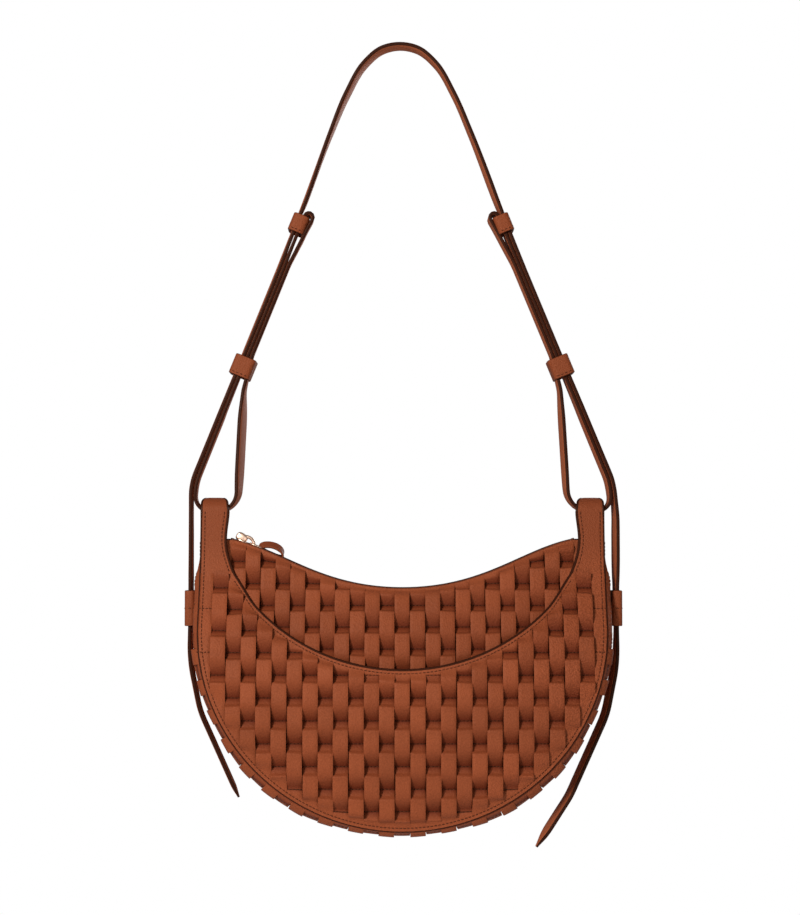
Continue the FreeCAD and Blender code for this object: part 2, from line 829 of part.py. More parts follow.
def zip_end_stop():
    """A small block that closes the chain at the end away from the slider."""
    half = size["tooth_height"] / 2
    start = tab_inner - size["chain_end"] + size["seam_gap"]
    body = padded(
        "ZipEndStop", "XZ_Plane", size["tape_split"] - size["seam_gap"] * 2,
        rectangle(ZERO, size["stop_length"], -chain_radius - half, half - chain_radius),
    )
    place(body, z=zip_centre_z, turn=-arc_sine(start / chain_radius))
    return keep(body, "zip_end_stop")


plate_face = named("plate_face", size["tooth_height"] / 2 + size["channel_gap"])
plate_back = named("plate_back", plate_face + size["plate_thickness"])


def slider_body():
    """Two plates joined by a neck, with a bridge on top for the pull."""
    half_length = size["slider_length"] / 2
    top = plate_back - chain_radius
    body = new_body("SliderBody")
    neck = rectangle(
        -half_length, size["neck_length"] - half_length, -chain_radius - plate_back, top
    )
    extrude(body, "Pad", new_sketch(body, "XZ_Plane", neck), size["neck_width"])
    plates = (
        rectangle(-half_length, half_length, -chain_radius - plate_back, -chain_radius - plate_face),
        rectangle(-half_length, half_length, plate_face - chain_radius, top),
    )
    extrude(body, "Pad", new_sketch(body, "XZ_Plane", *plates), size["slider_width"])
    half_bail = size["bail_length"] / 2
    inside = half_bail - size["bail_bar"]
    roof = top + size["bail_height"]
    bridge = [
        (-half_bail, top),
        (-half_bail, roof),
        (half_bail, roof),
        (half_bail, top),
        (inside, top),
        (inside, roof - size["bail_bar"]),
        (-inside, roof - size["bail_bar"]),
        (-inside, top),
    ]
    extrude(body, "Pad", new_sketch(body, "XZ_Plane", bridge), size["bail_width"])
    place(body, z=zip_centre_z, turn=slider_angle)
    return keep(body, "slider_body")


# The pull turns about the ring's near bar, inside the slider's bridge.
half_ring_bar = named("half_ring_bar", size["ring_bar"] / 2)
pivot_along = named(
    "pivot_along",
    size["bail_length"] / 2 - size["bail_bar"] - size["pull_gap"] - half_ring_bar,
)
pivot_radius = named(
    "pivot_radius", chain_radius - plate_back - (size["bail_height"] - size["bail_bar"]) / 2
)
pivot_x = named(
    "pivot_x", pivot_along * cosine(slider_angle) - pivot_radius * sine(slider_angle)
)
pivot_z = named(
    "pivot_z", zip_centre_z - pivot_along * sine(slider_angle) - pivot_radius * cosine(slider_angle)
)


def pull_ring():
    """A flat wire ring through the slider's bridge."""
    reach = size["ring_length"] - half_ring_bar
    body = new_body("PullRing")
    bar = rectangle(-half_ring_bar, reach, -half_ring_bar, half_ring_bar)
    extrude(body, "Pad", new_sketch(body, "XZ_Plane", bar), size["ring_width"])
    hole = rectangle(half_ring_bar, reach - size["ring_bar"], -size["ring_bar"], size["ring_bar"])
    hole_width = size["ring_width"] - size["ring_bar"] * 2
    extrude(body, "Pocket", new_sketch(body, "XZ_Plane", hole), hole_width)
    place(body, pivot_x, None, pivot_z, slider_angle - size["pull_tilt_angle"])
    return keep(body, "pull_ring")


def leather_puller():
    """A strip folded round the ring's far bar, wider at its free end."""
    near = size["ring_length"] - size["ring_bar"]
    tight = half_ring_bar + size["pull_gap"]
    far = near + size["puller_length"] - size["puller_swell"] - size["puller_leather"]

    def drop_shape(grow):
        small, large = tight + grow, size["puller_swell"] + grow
        return [
            (near, small, small, 1),
            (near - small, ZERO, small, 1),
            (near, -small),
            (far, -large, large, 1),
            (far + large, ZERO, large, 1),
            (far, large),
        ]

    body = padded(
        "LeatherPuller", "XZ_Plane", size["puller_width"],
        drop_shape(size["puller_leather"]), drop_shape(ZERO),
    )
    place(body, pivot_x, None, pivot_z, slider_angle - size["pull_tilt_angle"])
    return keep(body, "leather_puller")


def check(objects):
    for piece in objects:
        if "Invalid" in piece.State or "Error" in piece.State:
            raise RuntimeError("%s failed: %s" % (piece.Name, piece.State))
    for piece in pieces:
        if piece.Shape.isNull() or not piece.Shape.isValid() or not piece.Shape.Solids:
            raise RuntimeError("%s has no sound solid" % piece.Label)


main_strap()
for side_name, side_sign in SIDES:
    loop_strap(side_name, side_sign)
    strap_keeper(side_name, side_sign, "upper", upper_station, size["upper_keeper_height"], 2)
    strap_keeper(side_name, side_sign, "lower", lower_station, size["lower_keeper_height"], 3)
    side_keeper(side_name, side_sign)
    strap_end(side_name, side_sign)
    strap_tail(side_name, side_sign)
    tab_fold(side_name, side_sign)
front_overlay_panel()
front_upper_panel()
back_panel()
gusset_band()
edge_binding("front", front)
edge_binding("back", back)
base_board()
lining_bag()
for side_name, side_sign in (("front", -1), ("back", 1)):
    zip_tape(side_name, side_sign)
    zip_teeth(side_name, side_sign)
zip_end_stop()
slider_body()
pull_ring()
leather_puller()

doc.recompute()
check(doc.Objects)
os.makedirs("parts", exist_ok=True)
for piece in pieces:
    piece.Shape.exportStep("parts/%s.step" % piece.Label)
    print("%-22s %10.1f mm3 %d solids" % (piece.Label, piece.Shape.Volume, len(piece.Shape.Solids)))
print("hinge heights: axle %.3f, tails %.3f" % (axle_z.number, tail_z.number))
print("strand x %.3f, lean %.4f degrees" % (strand_x.number, lean_angle.number))
print("zip centre %.3f, slider at %.4f degrees" % (zip_centre_z.number, slider_angle.number))
print("pull pivot %.3f, %.3f" % (pivot_x.number, pivot_z.number))
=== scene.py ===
import math
import bpy
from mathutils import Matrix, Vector
import numpy as np


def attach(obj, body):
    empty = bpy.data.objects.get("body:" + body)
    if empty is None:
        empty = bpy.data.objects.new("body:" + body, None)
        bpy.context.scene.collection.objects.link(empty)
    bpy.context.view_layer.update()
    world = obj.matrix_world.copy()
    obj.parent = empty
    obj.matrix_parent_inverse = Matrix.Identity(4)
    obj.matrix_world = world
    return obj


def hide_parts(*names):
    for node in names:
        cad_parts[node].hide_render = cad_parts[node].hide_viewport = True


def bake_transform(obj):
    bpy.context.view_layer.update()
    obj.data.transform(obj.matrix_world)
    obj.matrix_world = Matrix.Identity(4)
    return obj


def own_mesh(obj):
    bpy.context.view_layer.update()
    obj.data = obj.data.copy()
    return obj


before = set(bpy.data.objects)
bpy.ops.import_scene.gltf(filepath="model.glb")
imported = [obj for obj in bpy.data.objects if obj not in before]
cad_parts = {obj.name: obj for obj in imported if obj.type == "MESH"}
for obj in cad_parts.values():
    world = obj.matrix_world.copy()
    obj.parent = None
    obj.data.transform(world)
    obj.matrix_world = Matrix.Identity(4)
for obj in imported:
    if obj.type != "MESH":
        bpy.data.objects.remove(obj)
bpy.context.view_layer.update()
mm = 0.001  # every shape below is in millimetres and becomes metres in Stock.piece
scene = bpy.context.scene
print("frame loaded,", len(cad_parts), "nodes")

bagForm = {"axleZ": -303.0, "roundZ": -376.0, "bellyZ": -430.0, "baseZ": -505.5, "halfWidth": 129.5,
           "scallopZ": -273.1, "scallopRadius": 130.9, "zipZ": -160.219, "frontJoin": -343.0,
           "backJoin": -321.4, "hornX": 108.5, "tabRadius": 9.11, "sewnX": 127.4}
strapForm = {"x": 137.2, "kneeZ": -285.0, "lean": math.radians(22.1585), "width": 13.0, "thick": 2.3,
             "pitch": 2.4, "fold": 3.1, "kneeRadius": 40.0}
bothSides = ((-1, "left"), (1, "right"))
wayY, wayZ = np.array([0.0, 1.0, 0.0]), np.array([0.0, 0.0, 1.0])


# 0 below the range, 1 above it, and an even S between
def ease(value, low=0.0, high=1.0):
    t = np.clip((value - low) / (high - low), 0, 1)
    return t * t * (3 - 2 * t)


# Vectors brought to length one.
def unit(vectors):
    return vectors / np.linalg.norm(vectors, axis=-1, keepdims=True)


# The direction in the x-z plane at an angle up from x.
def heading(angle):
    return np.array([math.cos(angle), 0, math.sin(angle)])


# How far along a path each of its points lies.
def lengths(path):
    return np.concatenate([[0], np.cumsum(np.linalg.norm(np.diff(path, axis=0), axis=1))])


# A flat path again, with its points at even steps.
def evenly(path, step, closed=False):
    ends = np.concatenate([path, path[:1]]) if closed else path
    length = lengths(ends)
    apart = np.concatenate([[True], np.diff(length) > 1e-4])
    ends, length = ends[apart], length[apart]
    runs = np.linspace(0, length[-1], int(length[-1] / step) + 2)
    if closed:
        runs = runs[:-1]
    return np.stack([np.interp(runs, length, ends[:, k]) for k in (0, 1)], -1)


# The direction of a path at each of its points.
def tangentOf(path, closed):
    if closed:
        return unit(np.roll(path, -1, 0) - np.roll(path, 1, 0))
    return unit(np.gradient(path, axis=0))


class Stock:
    # gathers grids of points into one mesh, with a few marks on each point for the material
    # rise is one where no shade is painted and lower where painted shade darkens the colour; edge carries
    # edge paint and also painted shade
    plainMarks = {"rise": 1.0, "edge": 0.0, "tone": 0.5, "thread": 0.0}

    def __init__(self):
        self.points, self.faces, self.marks, self.count = [], [], [], 0

    def take(self, points, blocks, marks):
        points = points.reshape(-1, 3)
        self.points.append(points)
        self.faces.extend(block + self.count for block in blocks)
        self.marks.append({key: np.broadcast_to(np.ravel(marks.get(key, plain)), len(points))
                           for key, plain in self.plainMarks.items()})
        self.count += len(points)

    # a grid of quads; out is a direction that the faces look along, or None for a closed shape
    def grid(self, points, wrapU=False, wrapV=False, out=None, **marks):
        rows, columns = points.shape[:2]
        i = np.arange(rows if wrapU else rows - 1)[:, None]
        j = np.arange(columns if wrapV else columns - 1)[None, :]
        nextI, nextJ = (i + 1) % rows, (j + 1) % columns
        quads = np.stack([i * columns + j, nextI * columns + j, nextI * columns + nextJ,
                          i * columns + nextJ], -1).reshape(-1, 4)
        flat = points.reshape(-1, 3)
        a, b, c, d = (flat[quads[:, k]] for k in range(4))
        normal = np.cross(c - a, d - b)
        view = (a + b + c + d) / 4 - flat.mean(0) if out is None else out
        if np.sum(normal * view) < 0:
            quads = quads[:, ::-1]
        full = {key: np.broadcast_to(value, points.shape[:2]) for key, value in marks.items()}
        self.take(points, [quads], full)

    # one many-sided face that closes a ring
    def cap(self, ring, out, **marks):
        order = np.arange(len(ring))[None, :]
        turn = np.cross(ring - ring.mean(0), np.roll(ring, -1, 0) - ring.mean(0)).sum(0)
        self.take(ring, [order if np.dot(turn, out) > 0 else order[:, ::-1]], marks)

    # copies of one small closed shape at many places, each with its own three axes
    def many(self, shape, faces, centres, alongs, sides, ups, **marks):
        points = (centres[:, None] + shape[None, :, 0:1] * alongs[:, None]
                  + shape[None, :, 1:2] * sides[:, None] + shape[None, :, 2:3] * ups[:, None])
        shift = (np.arange(len(centres)) * len(shape))[:, None, None]
        self.take(points, [(block[None] + shift).reshape(-1, block.shape[1]) for block in faces], marks)

    def piece(self, name, material, body, nodes=()):
        points = np.concatenate(self.points) * mm
        loops = np.concatenate([block.ravel() for block in self.faces])
        sizes = np.concatenate([np.full(len(block), block.shape[1]) for block in self.faces])
        mesh = bpy.data.meshes.new(name)
        mesh.vertices.add(len(points))
        mesh.vertices.foreach_set("co", points.ravel().astype(np.float32))
        mesh.loops.add(len(loops))
        mesh.loops.foreach_set("vertex_index", loops.astype(np.int32))
        mesh.polygons.add(len(sizes))
        mesh.polygons.foreach_set("loop_start", (np.cumsum(sizes) - sizes).astype(np.int32))
        mesh.update(calc_edges=True)
        mesh.validate()
        mesh.shade_smooth()
        for key in self.plainMarks:
            values = np.concatenate([mark[key] for mark in self.marks]).astype(np.float32)
            mesh.attributes.new(key, "FLOAT", "POINT").data.foreach_set("value", values)
        mesh.materials.append(material)
        made = bpy.data.objects.new(name, mesh)
        scene.collection.objects.link(made)
        if body:
            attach(made, body)
        if nodes:
            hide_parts(*nodes)
        return made


class Wire:
    # a shader socket that takes plain arithmetic: each operator adds one Math node
    def __init__(self, tree, socket):
        self.tree, self.socket = tree, socket

    def node(self, kind, settings, inputs, output=0):
        made = self.tree.nodes.new(kind)
        for key, value in settings.items():
            setattr(made, key, value)
        for key, value in inputs.items():
            if isinstance(value, Wire):
                self.tree.links.new(value.socket, made.inputs[key])
            else:
                made.inputs[key].default_value = value
        return Wire(self.tree, made.outputs[output])

    def calc(self, operation, first, second=0.0):
        return self.node("ShaderNodeMath", {"operation": operation}, {0: first, 1: second})

    def __add__(self, other):
        return self.calc("ADD", self, other)

    def __sub__(self, other):
        return self.calc("SUBTRACT", self, other)

    def __rsub__(self, other):
        return self.calc("SUBTRACT", other, self)

    def __mul__(self, other):
        return self.calc("MULTIPLY", self, other)

    # 0 below low, 1 above high, smooth between
    def step(self, low, high):
        return self.node("ShaderNodeMapRange", {"interpolation_type": "SMOOTHSTEP"},
                         {"Value": self, "From Min": low, "From Max": high})

    # this value picks between two colours
    def pick(self, first, second):
        return self.node("ShaderNodeMix", {"data_type": "RGBA"}, {0: self, 6: first, 7: second}, 2)


# A new material, its shader node, a Wire to start from and the object's coordinates
def blankFinish(name):
    material = bpy.data.materials.new(name)
    material.use_nodes = True
    tree = material.node_tree
    wire = Wire(tree, None)
    return material, tree.nodes["Principled BSDF"], wire, wire.node("ShaderNodeTexCoord", {}, {}, "Object")


# A cloudy value at each place.
def noise(wire, place, scale, detail=2.0):
    return wire.node("ShaderNodeTexNoise", {}, {"Vector": place, "Scale": scale, "Detail": detail}, "Fac")


# The surface's normal, bent by the slope of a height.
def bumped(wire, height, strength, distance):
    return wire.node("ShaderNodeBump", {}, {"Height": height, "Strength": strength, "Distance": distance},
                     "Normal")


# Sets or links a shader's inputs by name.
def connect(shader, **inputs):
    for key, value in inputs.items():
        socket = shader.inputs[key.replace("_", " ")]
        if isinstance(value, Wire):
            value.tree.links.new(value.socket, socket)
        else:
            socket.default_value = value


# A colour times a factor, with full alpha.
def tint(colour, factor=1.0):
    return (*(channel * factor for channel in colour), 1.0)


# Leather: a cloudy tone, pebbled grain from round cells with a finer noise on it, painted shade in the
# recesses (mark rise), the dark paint colour on cut edges and, as painted shade, in the weave's creases and
# inside the puller's loop (mark edge), thread colour on stitches (mark thread). The grain coarsens towards
# the right by the share in pebble.
def leather(name, look):
    material, shader, wire, place = blankFinish(name)
    marks = {key: wire.node("ShaderNodeAttribute", {"attribute_name": key}, {}, "Fac")
             for key in Stock.plainMarks}
    cloud = noise(wire, place, look["cloudScale"], 3.0)
    fine = noise(wire, place, look["fineScale"])
    cell = wire.node("ShaderNodeTexVoronoi", {"feature": "SMOOTH_F1"},
                     {"Vector": place, "Scale": look["grainScale"], "Smoothness": 0.5}, "Distance")
    right = wire.node("ShaderNodeSeparateXYZ", {}, {"Vector": place}, "X")
    coarse = ((cloud - 0.5) * 0.06 + right).step(*look["pebbleX"]) * look["pebble"] + 1.0
    grain = (cell * 0.75 + fine * 0.35) * coarse
    mix = ((cloud - 0.5) * 0.9 + (marks["tone"] - 0.5) * 0.8 - (cell - 0.45) * 0.55 * coarse
           + 0.5).step(-0.1, 1.1)
    base = mix.pick(tint(look["tan"], 0.80), tint(look["tan"], 1.16))
    # painted shade: where the rise mark is below one the colour goes towards the shade colour, by recessShade
    deep = ((1.0 - marks["rise"]) * look["recessShade"]).pick(base, tint(look["shade"]))
    # the edge mark lays on the dark paint colour: real edge paint on cut edges, painted shade at creases and
    # inside the puller
    paintAndShadeMask = marks["edge"].step(0.35, 0.75)
    painted = paintAndShadeMask.pick(deep, tint(look["paintAndShade"]))
    sewn = marks["thread"].step(0.4, 0.6).pick(painted, tint(look["thread"]))
    rough = (cloud - 0.5) * 0.16 + (cell * 0.12) - paintAndShadeMask * 0.10 + look["rough"]
    bump = bumped(wire, grain * (1.0 - paintAndShadeMask * 0.7), look["bump"], 0.0005)
    connect(shader, Base_Color=sewn, Roughness=rough, Normal=bump, Specular_IOR_Level=look["specular"],
            Specular_Tint=tint(look["gloss"]))
    return material


# shade is the painted shade colour; paintAndShade is the edge paint's dark colour, also laid on as painted
# shade
leatherLook = {"tan": (0.250, 0.0560, 0.0190), "shade": (0.090, 0.0105, 0.0030),
               "paintAndShade": (0.026, 0.0060, 0.0026), "thread": (0.080, 0.018, 0.0065),
               "gloss": (1.0, 0.68, 0.50), "cloudScale": 26.0, "fineScale": 2600.0, "grainScale": 950.0,
               "rough": 0.52, "bump": 0.50, "specular": 0.20, "recessShade": 0.95, "pebble": 0.0,
               "pebbleX": (0.055, 0.115)}
panelLeather = leather("panelLeather", dict(leatherLook, pebble=1.3))
# The straps take a lighter tan than the panels; part of that lift is painted light for the lit underside of
# the arch
strapLeather = leather("strapLeather", dict(leatherLook, tan=(0.330, 0.086, 0.0340), bump=0.22,
                                            grainScale=1200.0, specular=0.12))
pipingLeather = leather("pipingLeather", dict(leatherLook, tan=(0.034, 0.0080, 0.0032), bump=0.10,
                                              rough=0.55, specular=0.10))
# The puller takes a darker tan than the panels, as painted shade for the shadow it hangs in
pullerLeather = leather("pullerLeather", dict(leatherLook, tan=(0.200, 0.043, 0.014), bump=0.22,
                                              grainScale=1300.0))


# Woven cloth: two sets of fine ribs crossing at right angles, with a cloudy tone.
def cloth(name, colour, ribs, rough):
    material, shader, wire, place = blankFinish(name)
    warp, weft = (wire.calc("SINE", wire.node("ShaderNodeSeparateXYZ", {}, {"Vector": place}, axis) * ribs)
                  for axis in ("X", "Z"))
    weave = warp * weft * 0.5 + 0.5
    cloud = noise(wire, place, 60.0, 3.0)
    base = (weave * 0.6 + cloud * 0.4).pick(tint(colour, 0.72), tint(colour, 1.15))
    connect(shader, Base_Color=base, Roughness=cloud * 0.1 + rough, Normal=bumped(wire, weave, 0.5, 0.0003),
            Sheen_Weight=0.1)
    return material


# Plated metal: polished, with cloudy wear in its colour and roughness.
def plating(name, colour, rough):
    material, shader, wire, place = blankFinish(name)
    cloud = noise(wire, place, 320.0, 4.0)
    base = cloud.pick(tint(colour, 0.92), tint(colour, 1.05))
    connect(shader, Base_Color=base, Roughness=cloud * 0.12 + rough,
            Normal=bumped(wire, cloud, 0.05, 0.0002), Metallic=1.0)
    return material


liningCloth = cloth("liningCloth", (0.105, 0.048, 0.026), 5200.0, 0.85)
zipCloth = cloth("zipCloth", (0.075, 0.022, 0.010), 7000.0, 0.75)
boardFinish = cloth("boardFinish", (0.075, 0.048, 0.032), 2400.0, 0.80)
roseMetal = plating("roseMetal", (0.90, 0.62, 0.46), 0.30)
print("finishes made")


# Straight runs between corners (x, z, radius), each corner taken by an arc that touches both runs.
def rounded(corners, closed=False, step=2.0):
    spots = np.array([c[:2] for c in corners], float)
    count, path = len(corners), []
    for k in range(count):
        if not closed and k in (0, count - 1):
            path.append(spots[k:k + 1])
            continue
        before, here, after = spots[k - 1], spots[k], spots[(k + 1) % count]
        back, ahead = unit(before - here), unit(after - here)
        half = math.acos(np.clip(np.dot(back, ahead), -1, 1)) / 2
        radius = corners[k][2]
        reach = radius / math.tan(half)
        middle = here + unit(back + ahead) * radius / math.sin(half)
        start, sweep = here + back * reach - middle, math.pi - 2 * half
        turn = np.sign(back[1] * ahead[0] - back[0] * ahead[1])
        angles = turn * np.linspace(0, sweep, max(5, int(radius * sweep) + 2))
        path.append(np.stack([middle[0] + start[0] * np.cos(angles) - start[1] * np.sin(angles),
                              middle[1] + start[0] * np.sin(angles) + start[1] * np.cos(angles)], -1))
    return evenly(np.concatenate(path), step, closed)


# A smooth curve through points: each span a cubic whose slopes follow the neighbours, then evenly spaced.
def through(points, step=2.0):
    points = np.asarray(points, float)
    chord = lengths(points)
    slopes = np.gradient(points, chord, axis=0)
    t = np.linspace(0, 1, 40, endpoint=False)[None, :, None]
    span = np.diff(chord)[:, None, None]
    first, last = points[:-1, None], points[1:, None]
    leave, arrive = slopes[:-1, None] * span, slopes[1:, None] * span
    curve = ((2 * t ** 3 - 3 * t ** 2 + 1) * first + (t ** 3 - 2 * t ** 2 + t) * leave
             + (3 * t ** 2 - 2 * t ** 3) * last + (t ** 3 - t ** 2) * arrive).reshape(-1, 2)
    return evenly(np.concatenate([curve, points[-1:]]), step)


# A closed section carried along a path: a grid, with a cap at each open end.
def sweep(stock, points, tangent, closed, ends, **marks):
    stock.grid(points, wrapU=closed, wrapV=True, **marks)
    if not closed:
        stock.cap(points[0], -tangent[0], **ends)
        stock.cap(points[-1], tangent[-1], **ends)


# A flat strap: a section with two crowned faces, small rounded corners and painted narrow edges, carried
# along a path; lead is the way the front edge points, squared to the path; crowns are the two faces' heights,
# and below is painted shade on the lower face, laid on in the edge paint's dark colour.
def ribbon(stock, path, lead, width, thick, closed=False, widths=1.0, thicks=1.0, painted=1.0, tone=0.5,
           crowns=(0.0, 0.0), below=0.0):
    tangent = tangentOf(path, closed)
    lead = np.broadcast_to(lead, path.shape)
    across = unit(lead - np.sum(lead * tangent, -1, keepdims=True) * tangent)
    normal = np.cross(tangent, across)
    w, t = width / 2, thick / 2
    r = min(0.55, 0.6 * t)
    inner = [(share * w, t) for share in (-0.66, -0.33, 0, 0.33, 0.66)]
    upper = [(-w + 1.3 * r, t), *inner, (w - 1.3 * r, t)]
    right = [(w - 0.35 * r, t - 0.3 * r), (w, t - r), (w, r - t), (w - 0.35 * r, 0.3 * r - t)]
    section = np.array(upper + right + [(-p, -q) for p, q in upper] + [(-p, -q) for p, q in right])
    face, edge = (np.repeat(marks, (7, 4, 7, 4)) for marks in ((1.0, 0.0, 1.0, 0.0),
                                                              (0.0, painted, below, painted)))
    widths, thicks = np.broadcast_to(widths, len(path)), np.broadcast_to(thicks, len(path))
    over, under = (np.broadcast_to(crown, len(path))[:, None] for crown in crowns)
    swell = np.clip(1 - (section[:, 0] / w) ** 2, 0, 1) * face
    lift = section[:, 1] * thicks[:, None] + swell * np.where(section[:, 1] > 0, over, -under)
    points = (path[:, None] + across[:, None] * (section[None, :, 0] * widths[:, None])[..., None]
              + normal[:, None] * lift[..., None])
    sweep(stock, points, tangent, closed, {"edge": painted}, edge=edge, tone=tone)


# A round bead: a circle carried along a path, for piping, rings and bars.
def bead(stock, path, radius, sides=10, closed=False, **marks):
    tangent = tangentOf(path, closed)
    first = unit(np.cross(tangent, wayY + 1e-4))
    second = np.cross(tangent, first)
    angle = np.linspace(0, 2 * math.pi, sides, endpoint=False)[None, :, None]
    points = path[:, None] + radius * (first[:, None] * np.cos(angle) + second[:, None] * np.sin(angle))
    sweep(stock, points, tangent, closed, marks, **marks)


stitchForm = {"pitch": 2.45, "length": 1.75, "radius": 0.30, "proud": 0.12}


# One stitch: a short hexagonal thread with drawn-in ends.
def stitchShape():
    stations = np.array([-0.5, -0.38, 0.38, 0.5])
    sizes = np.array([0.45, 1.0, 1.0, 0.45])
    angle = np.arange(6) * math.pi / 3
    shape = np.stack([np.repeat(stations, 6), np.outer(sizes, np.cos(angle)).ravel(),
                      np.outer(sizes, np.sin(angle)).ravel()], -1)
    i, j = np.arange(3)[:, None], np.arange(6)[None, :]
    quads = np.stack([i * 6 + j, i * 6 + (j + 1) % 6, (i + 1) * 6 + (j + 1) % 6, (i + 1) * 6 + j], -1)
    return shape, [quads.reshape(-1, 4)[:, ::-1], np.arange(6)[None, :], 18 + np.arange(6)[None, ::-1]]


# A stitch at each centre, with its direction, its outward normal and its three sizes.
def stitches(stock, centres, along, ups, length, wide, high):
    shape, faces = stitchShape()
    stock.many(shape, faces, centres, along * length, np.cross(ups, along) * wide, ups * high, thread=1.0)


# Stitches laid end to end along a line of points, with the line's outward normals.
def stitchRow(stock, line, normals, form=stitchForm):
    run = lengths(line)
    count = max(1, int(run[-1] / form["pitch"]))
    spots = (np.arange(count) + 0.5) * run[-1] / count
    at = lambda values, where: np.stack([np.interp(where, run, values[:, k]) for k in range(3)], -1)
    centres, along = at(line, spots), unit(at(line, spots + 0.4) - at(line, spots - 0.4))
    ups = at(np.broadcast_to(normals, line.shape), spots)
    ups = unit(ups - np.sum(ups * along, -1, keepdims=True) * along)
    stitches(stock, centres + ups * form["proud"], along, ups, form["length"], form["radius"], form["radius"])


class Flank:
    # One face of the bag: its half depth flares from the neck to the belly in two equal arcs and curls in to
    # the base in a third; crown swells the middle. put places a point at x, z, lifted along the normal.
    def __init__(self, sign, neck, belly, base, crown):
        top, mid, low = bagForm["axleZ"], bagForm["bellyZ"], bagForm["baseZ"]
        rise, spread = top - mid, belly - neck
        flare = (rise ** 2 + spread ** 2) / (4 * spread)
        curl = ((mid - low) ** 2 + (belly - base) ** 2) / (2 * (belly - base))
        self.sign, self.crown = sign, crown
        self.z = np.linspace(low - 8, top, 700)
        down = top - self.z
        first = neck + flare - np.sqrt(flare ** 2 - np.minimum(down, rise / 2) ** 2)
        second = belly - flare + np.sqrt(flare ** 2 - np.clip(rise - down, 0, rise / 2) ** 2)
        third = belly - curl + np.sqrt(curl ** 2 - np.clip(down - rise, 0, None) ** 2)
        self.depth = np.where(down < rise / 2, first, np.where(down < rise, second, third))
        self.slope = np.gradient(self.depth, self.z)
        length = np.sqrt(1 + self.slope ** 2)
        self.runs = np.concatenate([[0], np.cumsum((length[1:] + length[:-1]) / 2 * np.diff(self.z))])

    # length up the face's profile at a level
    def run(self, z):
        return np.interp(z, self.z, self.runs)

    # half depth at a level
    def half(self, z):
        return np.interp(z, self.z, self.depth)

    def put(self, x, z, lift):
        x, z, lift = np.broadcast_arrays(x, z, lift)
        slope = np.interp(z, self.z, self.slope)
        length = np.sqrt(1 + slope ** 2)
        spot = np.hypot(x, np.minimum(z - bagForm["roundZ"], 0)) / bagForm["halfWidth"]
        swell = self.crown * np.clip(1 - spot ** 2, 0, 1) * ease(-z, 340, 400)
        depth = self.half(z) + swell + lift / length
        return np.stack([x, self.sign * depth, z - lift * slope / length], -1)

    # the face's outward normal
    def out(self, x, z):
        return unit(self.put(x, z, 1.0) - self.put(x, z, 0.0))

    # stitches along a line of (x, z) on the face
    def sew(self, stock, line):
        x, z = line[:, 0], line[:, 1]
        stitchRow(stock, self.put(x, z, 0.0), self.out(x, z))

    # a bead along a line of (x, z), its middle lifted from the face
    def pipe(self, stock, line, lift, radius, **marks):
        bead(stock, self.put(line[:, 0], line[:, 1], lift), radius, **marks)


frontFlank = Flank(-1, neck=bagForm["tabRadius"], belly=36.0, base=29.0, crown=1.5)
wallFlank = Flank(-1, neck=5.2, belly=27.0, base=21.0, crown=0.0)
backFlank = Flank(1, neck=bagForm["tabRadius"], belly=32.0, base=26.0, crown=1.5)


# Height of the round outline at x.
def roundLow(x):
    return bagForm["roundZ"] - np.sqrt(np.clip(bagForm["halfWidth"] ** 2 - np.square(x), 0, None))


# The pocket edge is an arc that lifts a little where it runs into the tabs.
def scallopLift(x):
    return 3.2 * ease(np.abs(x), 93, 107)


# Height of the pocket edge at x, level beyond the horns.
def scallopHigh(x):
    fall = np.sqrt(np.clip(bagForm["scallopRadius"] ** 2 - np.square(x), 1, None))
    return np.where(np.abs(x) < bagForm["hornX"], bagForm["scallopZ"] - fall + scallopLift(x),
                    bagForm["frontJoin"])


zipEdgeForm = {"x": [0, 20, 36, 50, 62, 75, 88, 100, 110.7],
               "z": [-353.0, -351.8, -348.8, -344.7, -340.4, -334.6, -328.8, -324.4, -321.4]}
zipEdgeTerms = np.polyfit(np.square(zipEdgeForm["x"]), zipEdgeForm["z"], 4)


# The zip edge: an even polynomial through the levels above, level beyond the tabs.
def zipHigh(x):
    return np.polyval(zipEdgeTerms, np.square(np.clip(np.abs(x), 0, zipEdgeForm["x"][-1])))


# Points along the zip edge, lowered by the drop.
def zipLine(drop, reach, count=260):
    x = np.linspace(-reach, reach, count)
    return np.stack([x, zipHigh(x) - drop], -1)


# How far a point of a face lies inside the round outline.
def rimRoom(x, z):
    return bagForm["halfWidth"] - np.hypot(x, np.minimum(z - bagForm["roundZ"], 0))


# crease and creaseShade give the width and darkness of the painted shade line at each tack; dark gives how
# far painted shade reaches below and above it, in mm
weave = {"pitch": 9.68, "period": 28.9, "swell": 5.4, "sink": 1.8, "thick": 1.5, "gap": 0.04, "bevel": 0.14,
         "climb": (0.115, 0.20), "firstClimb": 0.42, "fall": 0.42, "fallPower": 1.25, "sway": 0.35,
         "askew": 0.35, "unevenShare": 0.12, "tilt": 0.40, "crease": 0.55, "creaseShade": 0.76,
         "dark": (2.8, 5.6), "toneShare": 0.20, "across": (-1, -0.968, -0.5, 0, 0.5, 0.968, 1.0),
         "drop": (1, 0.1, 0, 0, 0, 0.1, 1.0), "tackRoom": 3.6, "tackShares": (-0.72, -0.24, 0.24, 0.72),
         "tack": (1.7, 0.34, 0.30), "tackProud": 0.06,
         "samples": (0, 0.006, 0.018, 0.04, 0.08, 0.115, 0.13, 0.147, 0.165, 0.182, 0.197, 0.215, 0.26, 0.34,
                     0.44, 0.54, 0.60, 0.65, 0.70, 0.74, 0.78, 0.82, 0.86, 0.895, 0.925, 0.95, 0.97, 0.985,
                     0.995)}


